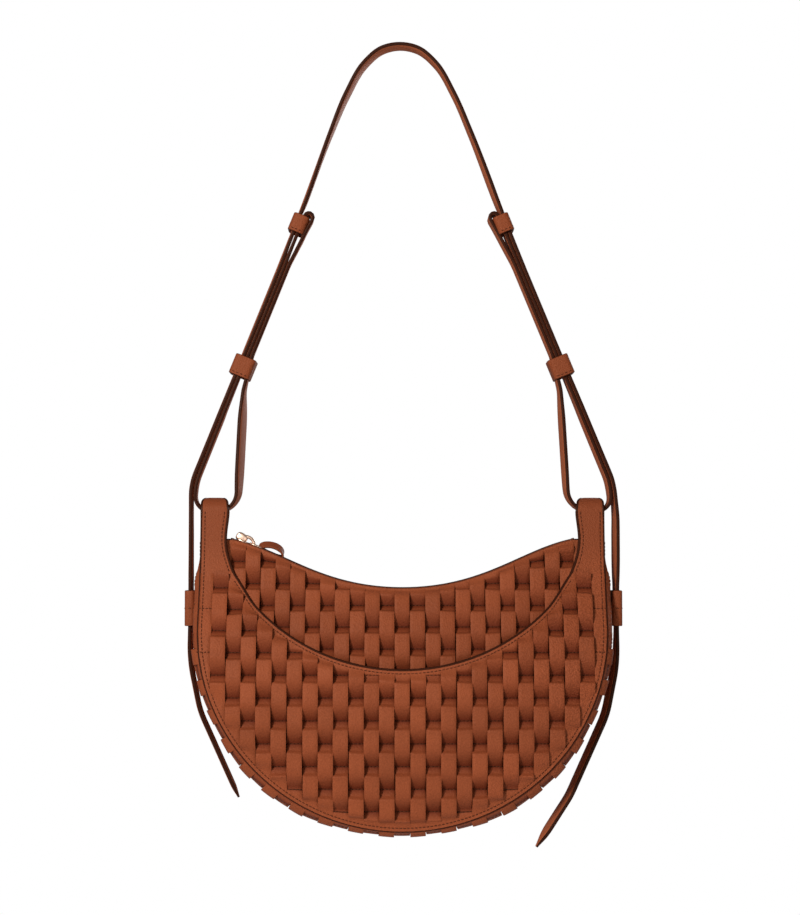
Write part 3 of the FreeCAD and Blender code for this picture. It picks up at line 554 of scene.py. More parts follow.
# Slit strips: each column of the panel runs from one end line to the other. Below a tacked line it rises a
# little, then steps up to a flat bridge, which curves down as a cosine to the next line's sharp crease.
# Where the room to the panel's edge runs out, the strip lies flush with its neighbours.
def slitStrips(stock, columns, pitch, put, ends, room, phase, limit, relief=1.0, gap=weave["gap"]):
    across, drop = (np.array(weave[key], float)[:, None] for key in ("across", "drop"))
    tackSpots, tackAlong, tackUp = [], [], []
    for column in columns:
        centre = column * pitch
        low, high = (float(v) for v in ends(np.clip(centre, -limit, limit)))
        dense = np.linspace(low, high, 900)
        turns = phase(column, dense)
        order = np.argsort(turns)
        whole = np.arange(math.floor(turns.min()), math.floor(turns.max()) + 1)
        wanted = np.ravel(whole[:, None] + np.array(weave["samples"])[None])
        wanted = wanted[(wanted > turns.min()) & (wanted < turns.max())]
        b = np.sort(np.concatenate([[low, high], np.interp(wanted, turns[order], dense[order])]))
        b = b[np.concatenate([[True], np.diff(b) > 0.05])]
        b[-1] = high
        inner = whole[(whole > turns.min()) & (whole < turns.max())]
        tacks = np.interp(inner, turns[order], dense[order])
        turn = phase(column, b)
        part, index = turn - np.floor(turn), np.floor(turn).astype(int)
        luck = np.random.default_rng(1000 + column).uniform(-1, 1, (4, 64))[:, index % 64]
        first, (start, end) = weave["firstClimb"], weave["climb"]
        climb = first * np.clip(part / start, 0, 1) + (1 - first) * ease(part, start, end)
        fall = np.sin(math.pi / 2 * np.clip((1 - part) / weave["fall"], 0, 1)) ** weave["fallPower"]
        bridge = climb * fall
        bulge = bridge * (0.92 + 0.08 * ease(part, 0.2, 0.6))
        openHere = room(centre, b)
        openSide = np.where(across < 0, room(centre - pitch / 2, b), room(centre + pitch / 2, b))
        lean = luck[1] * weave["sway"] * bridge * openHere
        a = np.clip(centre + across * (pitch / 2 - gap * openSide) + lean, -limit, limit)
        lowHere, highHere = ends(np.clip(centre + across * pitch / 2, -limit, limit))
        spread = max(9.0, *(1.7 * float(np.max(np.abs(here - end)))
                            for here, end in ((lowHere, low), (highHere, high))))
        along = (b + (lowHere - low) * ease(1 - (b - low) / spread)
                 + (highHere - high) * ease(1 - (high - b) / spread))
        along = along + weave["askew"] * luck[3] * across * bridge * openHere
        away = np.minimum(part, 1 - part) * weave["period"]
        crease = np.exp(-(away / weave["crease"]) ** 2) * ease(openHere, 0.02, 0.3)
        uneven = weave["swell"] * (1 + weave["unevenShare"] * luck[0])
        middle = relief * openHere * (uneven * bulge - weave["sink"])
        tilt = weave["tilt"] * relief * luck[2] * bridge * openHere
        top = middle + tilt * across - drop * weave["bevel"] * openSide
        under = middle - weave["thick"] + tilt * across
        # Painted shade: darkest at each tack and fading below and above it, carried by the rise mark; the
        # crease line is painted shade in the edge paint's colour
        below, above = (weave["period"] / reach for reach in weave["dark"])
        dark = np.where(part < 0.5, np.exp(-part * below), np.exp((part - 1) * above))
        face, back = put(a, along, top), put(a, along, under)
        outward = unit((face - back).reshape(-1, 3).mean(0))
        stock.grid(face, out=outward, rise=1 - openHere * dark, edge=weave["creaseShade"] * crease,
                   tone=0.5 + weave["toneShare"] * luck[0] * openHere)
        # The strips' backs get full painted shade; their cut sides and ends are darker partly as their own
        # raw edge and partly as painted shade
        stock.grid(back, out=-outward, rise=0.0)
        sideways, length = face[-1].mean(0) - face[0].mean(0), face[3, -1] - face[3, 0]
        for k, way in ((0, -1), (-1, 1)):
            stock.grid(np.stack([face[k], back[k]]), out=sideways * way, rise=0.2)
            stock.grid(np.stack([face[:, k], back[:, k]]), out=length * way, rise=0.5)
        inside = tacks[(tacks > low + weave["tackRoom"]) & (tacks < high - weave["tackRoom"])]
        if len(inside):
            x = centre + np.array(weave["tackShares"])[:, None] * pitch / 2
            depth = weave["tackProud"] - relief * weave["sink"] * room(centre, inside)
            spots = put(x, inside, depth)
            tackSpots.append(spots.reshape(-1, 3))
            tackAlong.append((put(x + 1, inside, depth) - spots).reshape(-1, 3))
            tackUp.append((put(x, inside, depth + 1) - spots).reshape(-1, 3))
    if tackSpots:
        stitches(stock, np.concatenate(tackSpots), unit(np.concatenate(tackAlong)),
                 unit(np.concatenate(tackUp)), *weave["tack"])


# A plain sheet behind the strips, from one end line to the other, sunk by the given depth; it is coloured
# all in painted shade so the gaps between the strips read dark.
def backing(stock, put, ends, limit, depth, sign, rows=60):
    x = np.linspace(-limit, limit, 73)[:, None]
    low, high = ends(x)
    t = np.linspace(0, 1, rows)[None, :]
    stock.grid(put(x, low + (high - low) * t, -depth), out=sign * wayY, rise=0.0, edge=0.3)


# Repeats of the weave down a face from a level; even and odd columns are tacked half a repeat apart.
def facePhase(flank, level):
    zero = flank.run(level)
    return lambda column, z: (zero - flank.run(z)) / weave["period"] + (0.5 if column % 2 else 0.0)


# How far a point of a face lies outside the scallop's arc.
def scallopRoom(x, z):
    return np.hypot(x, z - scallopLift(x) - bagForm["scallopZ"]) - bagForm["scallopRadius"]


# How far a point of a face lies below the zip edge, measured square to its usual slope.
def zipRoom(x, z):
    return (zipHigh(x) - z) * 0.93


# Points from side to side on a circle about the scallop's centre, with the pocket edge's lift at the tabs.
def arcLine(radius, reach, count=240):
    angle = np.linspace(-math.asin(reach / radius), math.asin(reach / radius), count)
    x = radius * np.sin(angle)
    return np.stack([x, bagForm["scallopZ"] - radius * np.cos(angle) + scallopLift(x)], -1)


# Down the left side of the round outline, round the bottom and up the right side.
def outline(radius, top, foot, count, trim=0):
    angle = np.linspace(-math.pi / 2, math.pi / 2, 400)[trim:400 - trim]
    left = np.stack([np.full(count, -radius), np.linspace(top, foot, count)], -1)
    bottom = np.stack([radius * np.sin(angle), bagForm["roundZ"] - radius * np.cos(angle)], -1)
    return np.concatenate([left, bottom, left[::-1] * (-1, 1)])


tabForm = {"thick": 2.1, "frontZ": [-343.0, -336.0, -329.2, -323.0, -317.3, -309.0, -303.0],
           "frontX": [108.5, 111.2, 113.2, 114.1, 114.0, 113.1, 112.6],
           "backZ": [-321.4, -317.5, -311.0, -303.0], "backX": [117.0, 118.2, 117.8, 116.4], "middleZ": -322,
           "across": (0, 0.05, 0.14, 0.3, 0.5, 0.7, 0.86, 0.95, 1.0), "corner": 2.2, "sewn": 2.3,
           "dip": 0.30, "dipShares": (1, 0.45, 0.1, 0, 0, 0, 0.1, 0.45, 1), "edge": 0.95, "toneZ": -316}
tabTerms = {face: np.polyfit(np.array(tabForm[face + "Z"]) - tabForm["middleZ"], tabForm[face + "X"], power)
            for face, power in (("front", 4), ("back", 2))}


# Where a tab's inner edge lies at each level: a polynomial through the places above.
def tabInnerX(z, face):
    return np.polyval(tabTerms[face], np.asarray(z) - tabForm["middleZ"])


# Down the left tab's inner edge, along the middle line and up the right tab's inner edge.
def tabToTab(face, low, count, middle):
    z = np.linspace(low, bagForm["axleZ"], count)
    right = np.stack([tabInnerX(z, face), z], -1)
    return np.concatenate([right[::-1] * (-1, 1), middle, right])


# A tab: the panel's horn runs up the front, over the axle in a half circle and down the back, from its
# inner edge to its outer edge, with a lower face the leather's thickness inside. Its top corners are round.
def tab(stock, side):
    up = np.linspace(bagForm["frontJoin"], bagForm["axleZ"], 26)
    down = np.linspace(bagForm["axleZ"], bagForm["backJoin"], 12)
    angle = np.linspace(0, math.pi, 22)[1:-1]
    front, top, rear = slice(0, len(up)), slice(len(up), -len(down)), slice(-len(down), None)
    bulb = np.clip((np.sin(angle) - 0.68) / 0.32, 0, 1)
    bulb = tabForm["corner"] * (1 - np.sqrt(1 - 0.98 * bulb ** 2))
    crest = [tabInnerX(bagForm["axleZ"], face) for face in ("front", "back")]
    inner = np.concatenate([tabInnerX(up, "front"), np.interp(angle, [0, math.pi], crest) + bulb,
                            tabInnerX(down, "back")])
    outer = np.full(len(inner), bagForm["halfWidth"])
    outer[top] -= bulb
    x = side * (inner + (outer - inner) * np.array(tabForm["across"])[:, None])

    def level(lift):
        lift = np.broadcast_to(lift, x.shape)
        radius = bagForm["tabRadius"] + lift[:, top]
        arc = np.stack([x[:, top], -radius * np.cos(angle), bagForm["axleZ"] + radius * np.sin(angle)], -1)
        return np.concatenate([frontFlank.put(x[:, front], up[None], lift[:, front]), arc,
                               backFlank.put(x[:, rear], down[None], lift[:, rear])], 1)

    face = level(-tabForm["dip"] * np.array(tabForm["dipShares"])[:, None])
    back, core = level(-tabForm["thick"]), level(-tabForm["edge"])
    for part, flip in ((face, 1), (back, -1)):
        quadOut = (face - back)[:-1, :-1].reshape(-1, 3) * flip
        tone = 0.5 - 0.9 * ease(part[..., 2], bagForm["frontJoin"], tabForm["toneZ"])
        stock.grid(part, out=quadOut, tone=tone)
    for k in (0, -1):
        stock.grid(np.stack([face[k], back[k]]), out=(face[k] - face[4])[:-1], edge=1.0)
        bead(stock, core[k, len(up) - 3:3 - len(down)], tabForm["edge"], edge=1.0)
    for flank, name, low in ((frontFlank, "front", -342.0), (backFlank, "back", -319.0)):
        z = np.arange(low, bagForm["axleZ"] + 1, 1.0)
        for spot in (tabInnerX(z, name) + tabForm["sewn"], np.full(len(z), bagForm["sewnX"])):
            flank.sew(stock, np.stack([side * spot, z], -1))


# A woven face of the bag: slit strips over a sheet or two.
def wovenFace(stock, flank, ends, room, form):
    slitStrips(stock, range(-13, 14), form["pitch"], flank.put, ends, room, facePhase(flank, form["weaveZ"]),
               form["reach"])
    for depth, sign in form["sheets"]:
        backing(stock, flank.put, ends, form["sheetReach"], depth, sign)


# Front pocket panel with its two tabs
pocketForm = {"pitch": weave["pitch"], "weaveZ": -435.6, "reach": 129.45, "sheetReach": 129.3,
              "sheets": ((3.2, 1.0), (3.0, -1.0)), "sewn": 2.1, "sewnReach": 108.0, "rim": (4.0, 8.5),
              "edge": (3.0, 7.5)}
overlay = Stock()
wovenFace(overlay, frontFlank, lambda x: (roundLow(x), scallopHigh(x)),
          lambda x, z: ease(rimRoom(x, z), *pocketForm["rim"]) * ease(scallopRoom(x, z), *pocketForm["edge"]),
          pocketForm)
frontFlank.sew(overlay, arcLine(bagForm["scallopRadius"] + pocketForm["sewn"], pocketForm["sewnReach"]))
rimLine = outline(bagForm["sewnX"], -342, -376.5, 34)
frontFlank.sew(overlay, rimLine)
for side, label in bothSides:
    tab(overlay, side)
overlay.piece("frontPocketPanel", panelLeather, "bag",
              ("front_overlay_panel", "left_tab_fold", "right_tab_fold"))

# Painted edge of the pocket: a bead along the scallop and up the tabs' inner edges
scallopEdge = Stock()
arc = arcLine(bagForm["scallopRadius"], bagForm["hornX"], 260)
frontFlank.pipe(scallopEdge, tabToTab("front", -342.0, 40, arc[1:-1]), lift=-0.90, radius=1.05)
scallopEdge.piece("pocketPaintedEdge", pipingLeather, "bag")
print("front pocket made")

# Front wall above and behind the pocket
wallForm = {"pitch": 9.6, "weaveZ": -376.8, "reach": 126.0, "sheetReach": 125.9, "sheets": ((3.2, 1.0),),
            "lowestZ": -455.0, "edge": (0.8, 5.0), "hidden": (-22, -14), "horn": 4}
wall = Stock()
wovenFace(wall, wallFlank, lambda x: (np.maximum(roundLow(x) + 4, wallForm["lowestZ"]), zipHigh(x)),
          lambda x, z: (ease(zipRoom(x, z), *wallForm["edge"]) * ease(-scallopRoom(x, z), *wallForm["hidden"])
                        * ease(bagForm["hornX"] + wallForm["horn"] - np.abs(x), 0, wallForm["horn"])),
          wallForm)
wallFlank.pipe(wall, zipLine(0.0, 110.5), lift=-0.75, radius=0.80, edge=0.55)
wall.piece("frontWall", panelLeather, "bag", ("front_upper_panel",))

# Back panel
backForm = dict(pocketForm, sheets=((3.2, 1.0), (3.4, -1.0)), rim=(4.5, 9.5), edge=(5.0, 11.0))
back = Stock()
wovenFace(back, backFlank, lambda x: (roundLow(x), zipHigh(x)),
          lambda x, z: ease(rimRoom(x, z), *backForm["rim"]) * ease(zipRoom(x, z), *backForm["edge"]),
          backForm)
backFlank.sew(back, zipLine(2.3, 109.0))
backFlank.sew(back, rimLine)
backFlank.pipe(back, tabToTab("back", -321.0, 24, zipLine(0.0, 116.8)), lift=-0.95, radius=1.12, edge=1.0)
back.piece("backPanel", panelLeather, "bag", ("back_panel",))
print("wall and back made")

# Painted seams where the front and the back meet the side band
for label, flank in (("front", frontFlank), ("back", backFlank)):
    seam = Stock()
    line = outline(bagForm["halfWidth"] + 0.15, bagForm["axleZ"], -375.5, 60, trim=1)
    flank.pipe(seam, line, lift=-0.80, radius=0.75)
    seam.piece(label + "Seam", pipingLeather, "bag", (label + "_edge_binding",))

# Side band: strips that run from the front seam to the back seam, round the rim
rimForm = {"radius": 130.3, "pitch": 9.75, "topZ": -322.0, "inset": 1.3, "relief": 0.44, "gap": 0.07,
           "sheet": 3.1, "proud": 2.2, "sideProud": 0.4, "topSink": 2.9, "cornerProud": 2.6, "tailProud": 3.8}


# Along the rim, a runs from the lowest point, past the round part and up the straight sides; this is the
# angle it has reached.
def rimTurn(a):
    return np.clip(a / rimForm["radius"], -math.pi / 2, math.pi / 2)


# How far up a straight side a lies.
def rimClimb(a):
    return np.clip(np.abs(a) - rimForm["radius"] * math.pi / 2, 0, None)


# Where the band meets the front seam and the back seam.
def rimEnds(a):
    z = bagForm["roundZ"] - rimForm["radius"] * np.cos(rimTurn(a)) + rimClimb(a)
    return -(frontFlank.half(z) - rimForm["inset"]), backFlank.half(z) - rimForm["inset"]


# The band leaves each seam in a round shoulder, and stands furthest out at the lower corners and behind the
# tails.
def rimPlace(a, y, lift):
    a, y, lift = np.broadcast_arrays(a, y, lift)
    turn, climb, (low, high) = rimTurn(a), rimClimb(a), rimEnds(a)
    side = np.degrees(np.abs(turn))
    corner = rimForm["cornerProud"] * ease(side, 8, 32) * (1 - 0.7 * ease(side, 46, 66))
    behind = rimForm["tailProud"] * ease(y, 8.5, 15) * ease(side, 56, 68) * (1 - ease(side, 83, 89))
    proud = (rimForm["proud"] + rimForm["sideProud"] * ease(side, 70, 90)
             - rimForm["topSink"] * ease(climb, 26, 46) + corner + behind)
    radius = rimForm["radius"] + lift + proud * ease(np.minimum(y - low, high - y), -1.2, 4.2)
    return np.stack([radius * np.sin(turn), y, bagForm["roundZ"] - radius * np.cos(turn) + climb], -1)


# The strips lie flush at both seams and on the straight sides.
def rimOpen(a, y):
    low, high = rimEnds(a)
    return ease(np.minimum(y - low, high - y), 0.0, 3.0) * ease(90 - np.degrees(np.abs(rimTurn(a))), 2, 8)


# Repeats of the weave from the front seam, with every other column half a repeat on.
def rimPhase(column, y):
    low = rimEnds(column * rimForm["pitch"])[0]
    return (y - low - 4.0) / weave["period"] + (0.5 if column % 2 else 0.0)


band = Stock()
rimLength = rimForm["radius"] * math.pi / 2 + rimForm["topZ"] - bagForm["roundZ"]
slitStrips(band, range(-26, 27), rimForm["pitch"], rimPlace, rimEnds, rimOpen, rimPhase, rimLength,
           rimForm["relief"], rimForm["gap"])
# A sheet under the band's strips, coloured all in painted shade so their gaps read dark
a = np.linspace(-rimLength, rimLength, 160)[:, None]
low, high = rimEnds(a)
sheet = rimPlace(a, low + (high - low) * np.linspace(0, 1, 24)[None], -rimForm["sheet"])
centreOut = rimPlace(a, 0.0, 1.0)[:-1] - rimPlace(a, 0.0, 0.0)[:-1]
band.grid(sheet, out=np.broadcast_to(centreOut, (159, 23, 3)).reshape(-1, 3), rise=0.0, edge=0.3)
band.piece("sideBand", panelLeather, "bag", ("gusset_band",))
print("side band made")


# Straps. A station runs up a strand from the knee, an offset inwards from the outer strand.
def strand(side, station, offset):
    lean = strapForm["lean"]
    return (side * (strapForm["x"] - station * math.sin(lean) - offset * math.cos(lean)),
            strapForm["kneeZ"] + station * math.cos(lean) - offset * math.sin(lean))


# How far the front edge leans to the right, in degrees, at each level of a strand.
twistForm = {"mainLeft": ([-352, -330, -300, -285, -262, -235, -216, -200, -140, -125, -108, -95, -75, -50,
                           -30, 0],
                          [0, 2, 2, 2, 3, 3, 5, 10, 10, 7, 8, 10, 6, -2, -6, -6]),
             "mainRight": ([-352, -340, -310, -295, -285, -262, -235, -216, -125, -108, -90, -60, -30, 0],
                           [3, 9, 9, 5, 3, 2, 2, 0, 0, 3, 6, 3, 1, 1]),
             "outerLeft": ([-302, -296, -285, -262, -238, -216, -200, -140, -125],
                           [0, 3, 4, 4, 3, 5, 10, 10, 7]),
             "outerRight": ([-302, -296, -285, -262, -238, -216, -125], [0, 2, 3, 3, 2, 0, 0]),
             "innerLeft": ([-302, -295, -280, -240, -222, -200, -140, -125], [0, -6, -14, -14, 2, 10, 10, 6]),
             "innerRight": ([-302, -295, -280, -240, -222, -125], [0, 4, 8, 8, 1, 1])}


# The front edge's direction along a path: one table or the other by the mask, evened out over a few points.
def leadOf(levels, mask, first, second, closed):
    turns = [np.interp(levels, *twistForm[name]) for name in (first, second)]
    turn = np.radians(np.where(mask, *turns))
    turn = np.convolve(np.pad(turn, 4, mode="wrap" if closed else "edge"), np.full(9, 1 / 9), mode="valid")
    return np.stack([np.sin(turn), -np.cos(turn), np.zeros(len(turn))], -1)


# The strap hangs a little to the left at its top and to the right at its right side.
def sway(x, z):
    right = np.where(x > 60, 1.3, 0.0) * ease(-z, 285, 310) * (1 - ease(-z, 375, 420))
    return -1.5 * np.clip((z + 300) / 300, 0, 1) + right


# A flat path with its sway, set in the middle plane.
def lay(path):
    return np.stack([path[:, 0] + sway(path[:, 0], path[:, 1]), np.zeros(len(path)), path[:, 1]], -1)


lean = strapForm["lean"]
archForm = {"join": 150.0, "top": (0.0, 2.8), "endZ": -368,
            "points": [(64.0, -103.7), (45.8, -54.9), (34.8, -28.9), (23.2, -9.2), (12.0, 0.2)]}
join = strand(1, archForm["join"], 0.0)
lowerPath = rounded([(strapForm["x"], archForm["endZ"], 0),
                     (strapForm["x"], strapForm["kneeZ"], strapForm["kneeRadius"]), (*join, 0)])
arch = [join, *archForm["points"]]
arch = through([*((-x, z) for x, z in arch), archForm["top"], *arch[::-1]])
mainPath = np.concatenate([lowerPath[:-1] * (-1, 1), arch, lowerPath[-2::-1]])
mainStrap = Stock()
z = mainPath[:, 1]
innerCrown = 0.7 * ease(z, -112, -100) + 0.4 * ease(-z, 306, 318) * (1 - ease(-z, 344, 352))
outerCrown = 0.5 - 0.3 * ease(-z, 344, 352)
onLeft = mainPath[:, 0] < -1e-6  # the point at the very top counts as right
ribbon(mainStrap, lay(mainPath), leadOf(z, onLeft, "mainLeft", "mainRight", False), strapForm["width"],
       strapForm["thick"], crowns=(innerCrown, outerCrown))
made = mainStrap.piece("shoulderStrap", strapLeather, None,
                       ("main_strap", "left_strap_end", "right_strap_end"))
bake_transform(made)

# Loop straps: a closed path through the tab, up the inner strand, over the upper keeper and down the middle
loopForm = {"innerX": 107.3, "outerTurn": 10.0, "innerTurn": 14.0, "forkX": 103.0, "forkZ": -224.0,
            "fork": 30.0, "joinStation": 92.0, "foldStation": 189.55, "mergeTop": 179.0, "mergeFoot": 157.0,
            "part": 2.7, "partStation": 70.0, "long": 60.0, "mergeTurn": 20.0, "mergeOut": 2.2}
pitch, fold = strapForm["pitch"], strapForm["fold"]
for side, label in bothSides:
    foldTop, foldTurn = loopForm["foldStation"] + fold, fold * 0.96
    outerX = strapForm["x"] - loopForm["part"]
    corners = [(side * outerX, strapForm["kneeZ"] - loopForm["part"] * math.tan(lean / 2),
                strapForm["kneeRadius"] - loopForm["part"]),
               (side * outerX, bagForm["axleZ"], loopForm["outerTurn"]),
               (side * loopForm["innerX"], bagForm["axleZ"], loopForm["innerTurn"]),
               (side * loopForm["forkX"], loopForm["forkZ"], loopForm["fork"]),
               (*strand(side, loopForm["joinStation"], 2 * pitch), loopForm["fork"]),
               (*strand(side, loopForm["mergeFoot"], 2 * pitch), loopForm["long"]),
               (*strand(side, loopForm["mergeTop"], 2 * pitch + loopForm["mergeOut"]), loopForm["mergeTurn"]),
               (*strand(side, foldTop, pitch + 2 * fold), foldTurn),
               (*strand(side, foldTop, pitch), foldTurn),
               (*strand(side, loopForm["partStation"], pitch), loopForm["long"])]
    path = rounded(corners, closed=True, step=1.6)
    z = path[:, 1]
    rising = np.roll(z, -1) > np.roll(z, 1)  # the inner strand runs up, the outer one down
    outside = 0.6 * rising * ease(z, -299, -288) * (1 - ease(z, -128, -116))
    inside = 0.6 * ease(-z, 232, 244) * (1 - ease(-z, 288, 299))
    loop = Stock()
    lead = leadOf(z, rising, "inner" + label.capitalize(), "outer" + label.capitalize(), True)
    ribbon(loop, lay(path), lead, strapForm["width"], strapForm["thick"], closed=True, tone=0.45,
           widths=1 - 0.06 * ease(-z, 290, 300), crowns=(outside, inside)[::-side])
    loop.piece(label + "LoopStrap", strapLeather, "strap", (label + "_loop_strap",))

# Tails: from the side keepers down and inwards, drawn in to a point
tailForm = {"left": [(-137.2, -366, 0), (-137.6, -400, 100), (-131.0, -432, 60), (-105.8, -487.6, 0)],
            "right": [(137.2, -366, 0), (137.8, -402, 100), (131.5, -434, 60), (107.8, -486.5, 60),
                      (86.5, -519.5, 0)],
            "twist": {"left": 4.0, "right": 10.0}, "step": 1.4}
for side, label in bothSides:
    path = rounded(tailForm[label], step=tailForm["step"])
    count, depth = len(path), -path[:, 1]
    left = (count - 1 - np.arange(count)) * tailForm["step"]
    turn = np.radians(tailForm["twist"][label]) * ease(depth, 378, 420)
    lead = np.stack([np.sin(turn), -np.cos(turn), np.zeros(count)], -1)
    bulk = ease(left, -2, 9)
    crown = 0.6 * ease(depth, 378, 390) * bulk
    tail = Stock()
    ribbon(tail, lay(path), lead, strapForm["width"], strapForm["thick"],
           widths=0.12 + 0.88 * ease(left, -3, 15), thicks=0.5 + 0.5 * bulk, crowns=(crown, crown))
    made = tail.piece(label + "Tail", strapLeather, None, (label + "_tail",))
    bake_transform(made)

# Keepers: a leather sleeve, bent round the straps with rounded corners, painted rims and a row of stitches
keeperForm = {"upper": {"station": 183.55, "offset": 1.4, "half": 4.45, "height": 12.0, "body": "strap"},
              "lower": {"station": 83.2, "offset": 2.7, "half": 6.15, "height": 13.5, "body": None},
              "deep": 7.9, "corner": 2.2, "wall": 1.9, "margin": 0.6, "sewn": 1.7,
              "stitch": dict(stitchForm, pitch=2.3, length=1.5, radius=0.27)}
sideKeeperForm = {"z": -365.5, "half": 2.55, "height": 23.0, "wall": 1.7, "corner": 1.6, "outX": 140.6,
                  "frontY": -8.75, "sewnY": 6.6, "sewnX": 2.4}


# A closed rectangle with round corners.
def frameLine(low, high, half, corner):
    return rounded([(low, -half, corner), (high, -half, corner), (high, half, corner), (low, half, corner)],
                   closed=True, step=0.6)


# A band bent round such a rectangle, with its height along up.
def sleeve(stock, centre, up, inward, half, height, wall, corner):
    ring = frameLine(-half, half, keeperForm["deep"], corner)
    ribbon(stock, centre + ring[:, 0:1] * inward + ring[:, 1:2] * wayY, up, height, wall, closed=True,
           painted=0.62, tone=0.0)


for side, label in bothSides:
    up = np.array([-side * math.sin(lean), 0, math.cos(lean)])
    inward = np.array([-side * math.cos(lean), 0, -math.sin(lean)])
    for level in ("upper", "lower"):
        form = keeperForm[level]
        half, height = form["half"], form["height"]
        x, z = strand(side, form["station"], form["offset"])
        centre = np.array([x + float(sway(x, z)), 0.0, z])
        keeper = Stock()
        sleeve(keeper, centre, up, inward, half, height, keeperForm["wall"], keeperForm["corner"])
        places = np.linspace(keeperForm["margin"] - half, half - keeperForm["margin"], 12)[:, None]
        line = centre - up * (height / 2 - keeperForm["sewn"]) + inward * places
        for way in (-wayY, wayY):
            outside = line + way * (keeperForm["deep"] + keeperForm["wall"] / 2)
            stitchRow(keeper, outside, way, keeperForm["stitch"])
        keeper.piece(label + level.capitalize() + "Keeper", panelLeather, form["body"] or label + "_keeper",
                     (label + "_" + level + "_keeper",))
    sideKeeper = Stock()
    form, z = sideKeeperForm, sideKeeperForm["z"]
    wayX = np.array([side * 1.0, 0, 0])
    shift = float(sway(side * strapForm["x"], z))
    middle = side * strapForm["x"] + shift
    sleeve(sideKeeper, np.array([middle, 0, z]), wayZ, -wayX, form["half"], form["height"], form["wall"],
           form["corner"])
    line = np.array([side * form["outX"] + shift, 0, z])
    stitchRow(sideKeeper, line + np.linspace(-form["sewnY"], form["sewnY"], 14)[:, None] * wayY, wayX)
    line = np.array([middle, form["frontY"], z])
    places = np.linspace(-form["sewnX"], form["sewnX"], 8)[:, None]
    stitchRow(sideKeeper, line + places * np.array([1.0, 0, 0]), -wayY)
    sideKeeper.piece(label + "SideKeeper", panelLeather, "bag", (label + "_side_keeper",))
print("straps and keepers made")

# Zip: tapes from each wall to the teeth along the curved mouth, teeth in two rows
zipForm = {"radius": 194.78, "pitch": 2.5, "tooth": (1.25, 1.6, 2.0), "toothTaper": 0.72, "toothY": 0.65,
           "reach": 111.0, "tapeHalf": 0.4, "tapeInset": 1.8, "tapeEnd": 1.3, "tapeSag": 0.5,
           "tapeShares": (0, 0.04, 0.3, 0.6, 0.9, 0.97, 1.0)}


# A point of the zip's arc at an angle from its lowest point, raised towards the arc's centre.
def zipSpot(turn, y, up):
    radius = zipForm["radius"] - up
    spot = radius * np.sin(turn), y, bagForm["zipZ"] - radius * np.cos(turn)
    return np.stack(np.broadcast_arrays(*spot), -1)


tapeTurn = np.linspace(-1, 1, 150)[:, None] * math.asin(zipForm["reach"] / zipForm["radius"])
tapeHalf, toothTurn = zipForm["tapeHalf"], zipForm["pitch"] / zipForm["radius"]
cube = np.array([(x, y, z) for x in (-0.5, 0.5) for y in (-0.5, 0.5) for z in (-0.5, 0.5)])
cubeFaces = np.array([(0, 1, 3, 2), (4, 6, 7, 5), (0, 4, 5, 1), (2, 3, 7, 6), (0, 2, 6, 4), (1, 5, 7, 3)])
for sign, flank, label in ((-1, wallFlank, "front"), (1, backFlank, "back")):
    outerY = flank.half(bagForm["zipZ"] - zipForm["radius"] * np.cos(tapeTurn)) - zipForm["tapeInset"]
    t = np.array(zipForm["tapeShares"])[None]
    y = sign * (outerY + (zipForm["tapeEnd"] - outerY) * t)
    sag = -zipForm["tapeSag"] * np.sin(math.pi * t)
    tape = Stock()
    for way in (1, -1):
        tape.grid(zipSpot(tapeTurn, y, way * tapeHalf + sag), out=way * wayZ)
    for k, way in ((0, sign), (-1, -sign)):
        tape.grid(np.stack([zipSpot(tapeTurn[:, 0], y[:, k], tapeHalf),
                            zipSpot(tapeTurn[:, 0], y[:, k], -tapeHalf)]), out=way * wayY)
    tapePiece = tape.piece("zipTape" + label.capitalize(), zipCloth, "bag",
                           ("zip_tape_" + label,))
    turns = (np.arange(-43, 44) + 0.25 * sign) * toothTurn
    shape = cube.copy()
    shape[:, 0] *= np.where(cube[:, 1] * sign > 0, 1.0, zipForm["toothTaper"])
    flat, (length, wide, high) = 0 * turns, zipForm["tooth"]
    teeth = Stock()
    teeth.many(shape, [cubeFaces], zipSpot(turns, sign * zipForm["toothY"], 0.0),
               np.stack([np.cos(turns), flat, np.sin(turns)], -1) * length,
               np.tile(wayY * wide, (len(turns), 1)),
               np.stack([-np.sin(turns), flat, np.cos(turns)], -1) * high)
    teethPiece = teeth.piece("zipTeeth" + label.capitalize(), roseMetal, "bag",
                             ("zip_teeth_" + label,))
    for made in (tapePiece, teethPiece):
        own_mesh(made)

# Lining: a pouch whose section at each x runs down the front, across the base and up the back
liningForm = {"reach": 125.0, "mouth": 110.0, "sideZ": -328.0, "drop": 4.5, "radius": 125.5, "inset": 3.9,
              "centreZ": -395.0}
lining = Stock()
x = np.linspace(-liningForm["reach"], liningForm["reach"], 81)[:, None]
top = np.where(np.abs(x) < liningForm["mouth"], zipHigh(x) - liningForm["drop"], liningForm["sideZ"])
foot = np.minimum(bagForm["roundZ"] - np.sqrt(np.clip(liningForm["radius"] ** 2 - x ** 2, 0, None)), top - 4)
wallZ = top + (foot - top) * np.linspace(0, 1, 30)[None]
frontY = -(wallFlank.half(wallZ) - liningForm["inset"])
backY = backFlank.half(wallZ) - liningForm["inset"]
baseY = frontY[:, -1:] + (backY[:, -1:] - frontY[:, -1:]) * np.linspace(0, 1, 8)[None, 1:-1]
section = [np.stack(np.broadcast_arrays(x, y, z), -1)
           for y, z in ((frontY, wallZ), (baseY, foot), (backY[:, ::-1], wallZ[:, ::-1]))]
section = np.concatenate(section, 1)
lining.grid(section, out=liningForm["centreZ"] * wayZ - section[:-1, :-1].reshape(-1, 3))
lining.piece("liningPouch", liningCloth, "bag", ("lining_bag",))

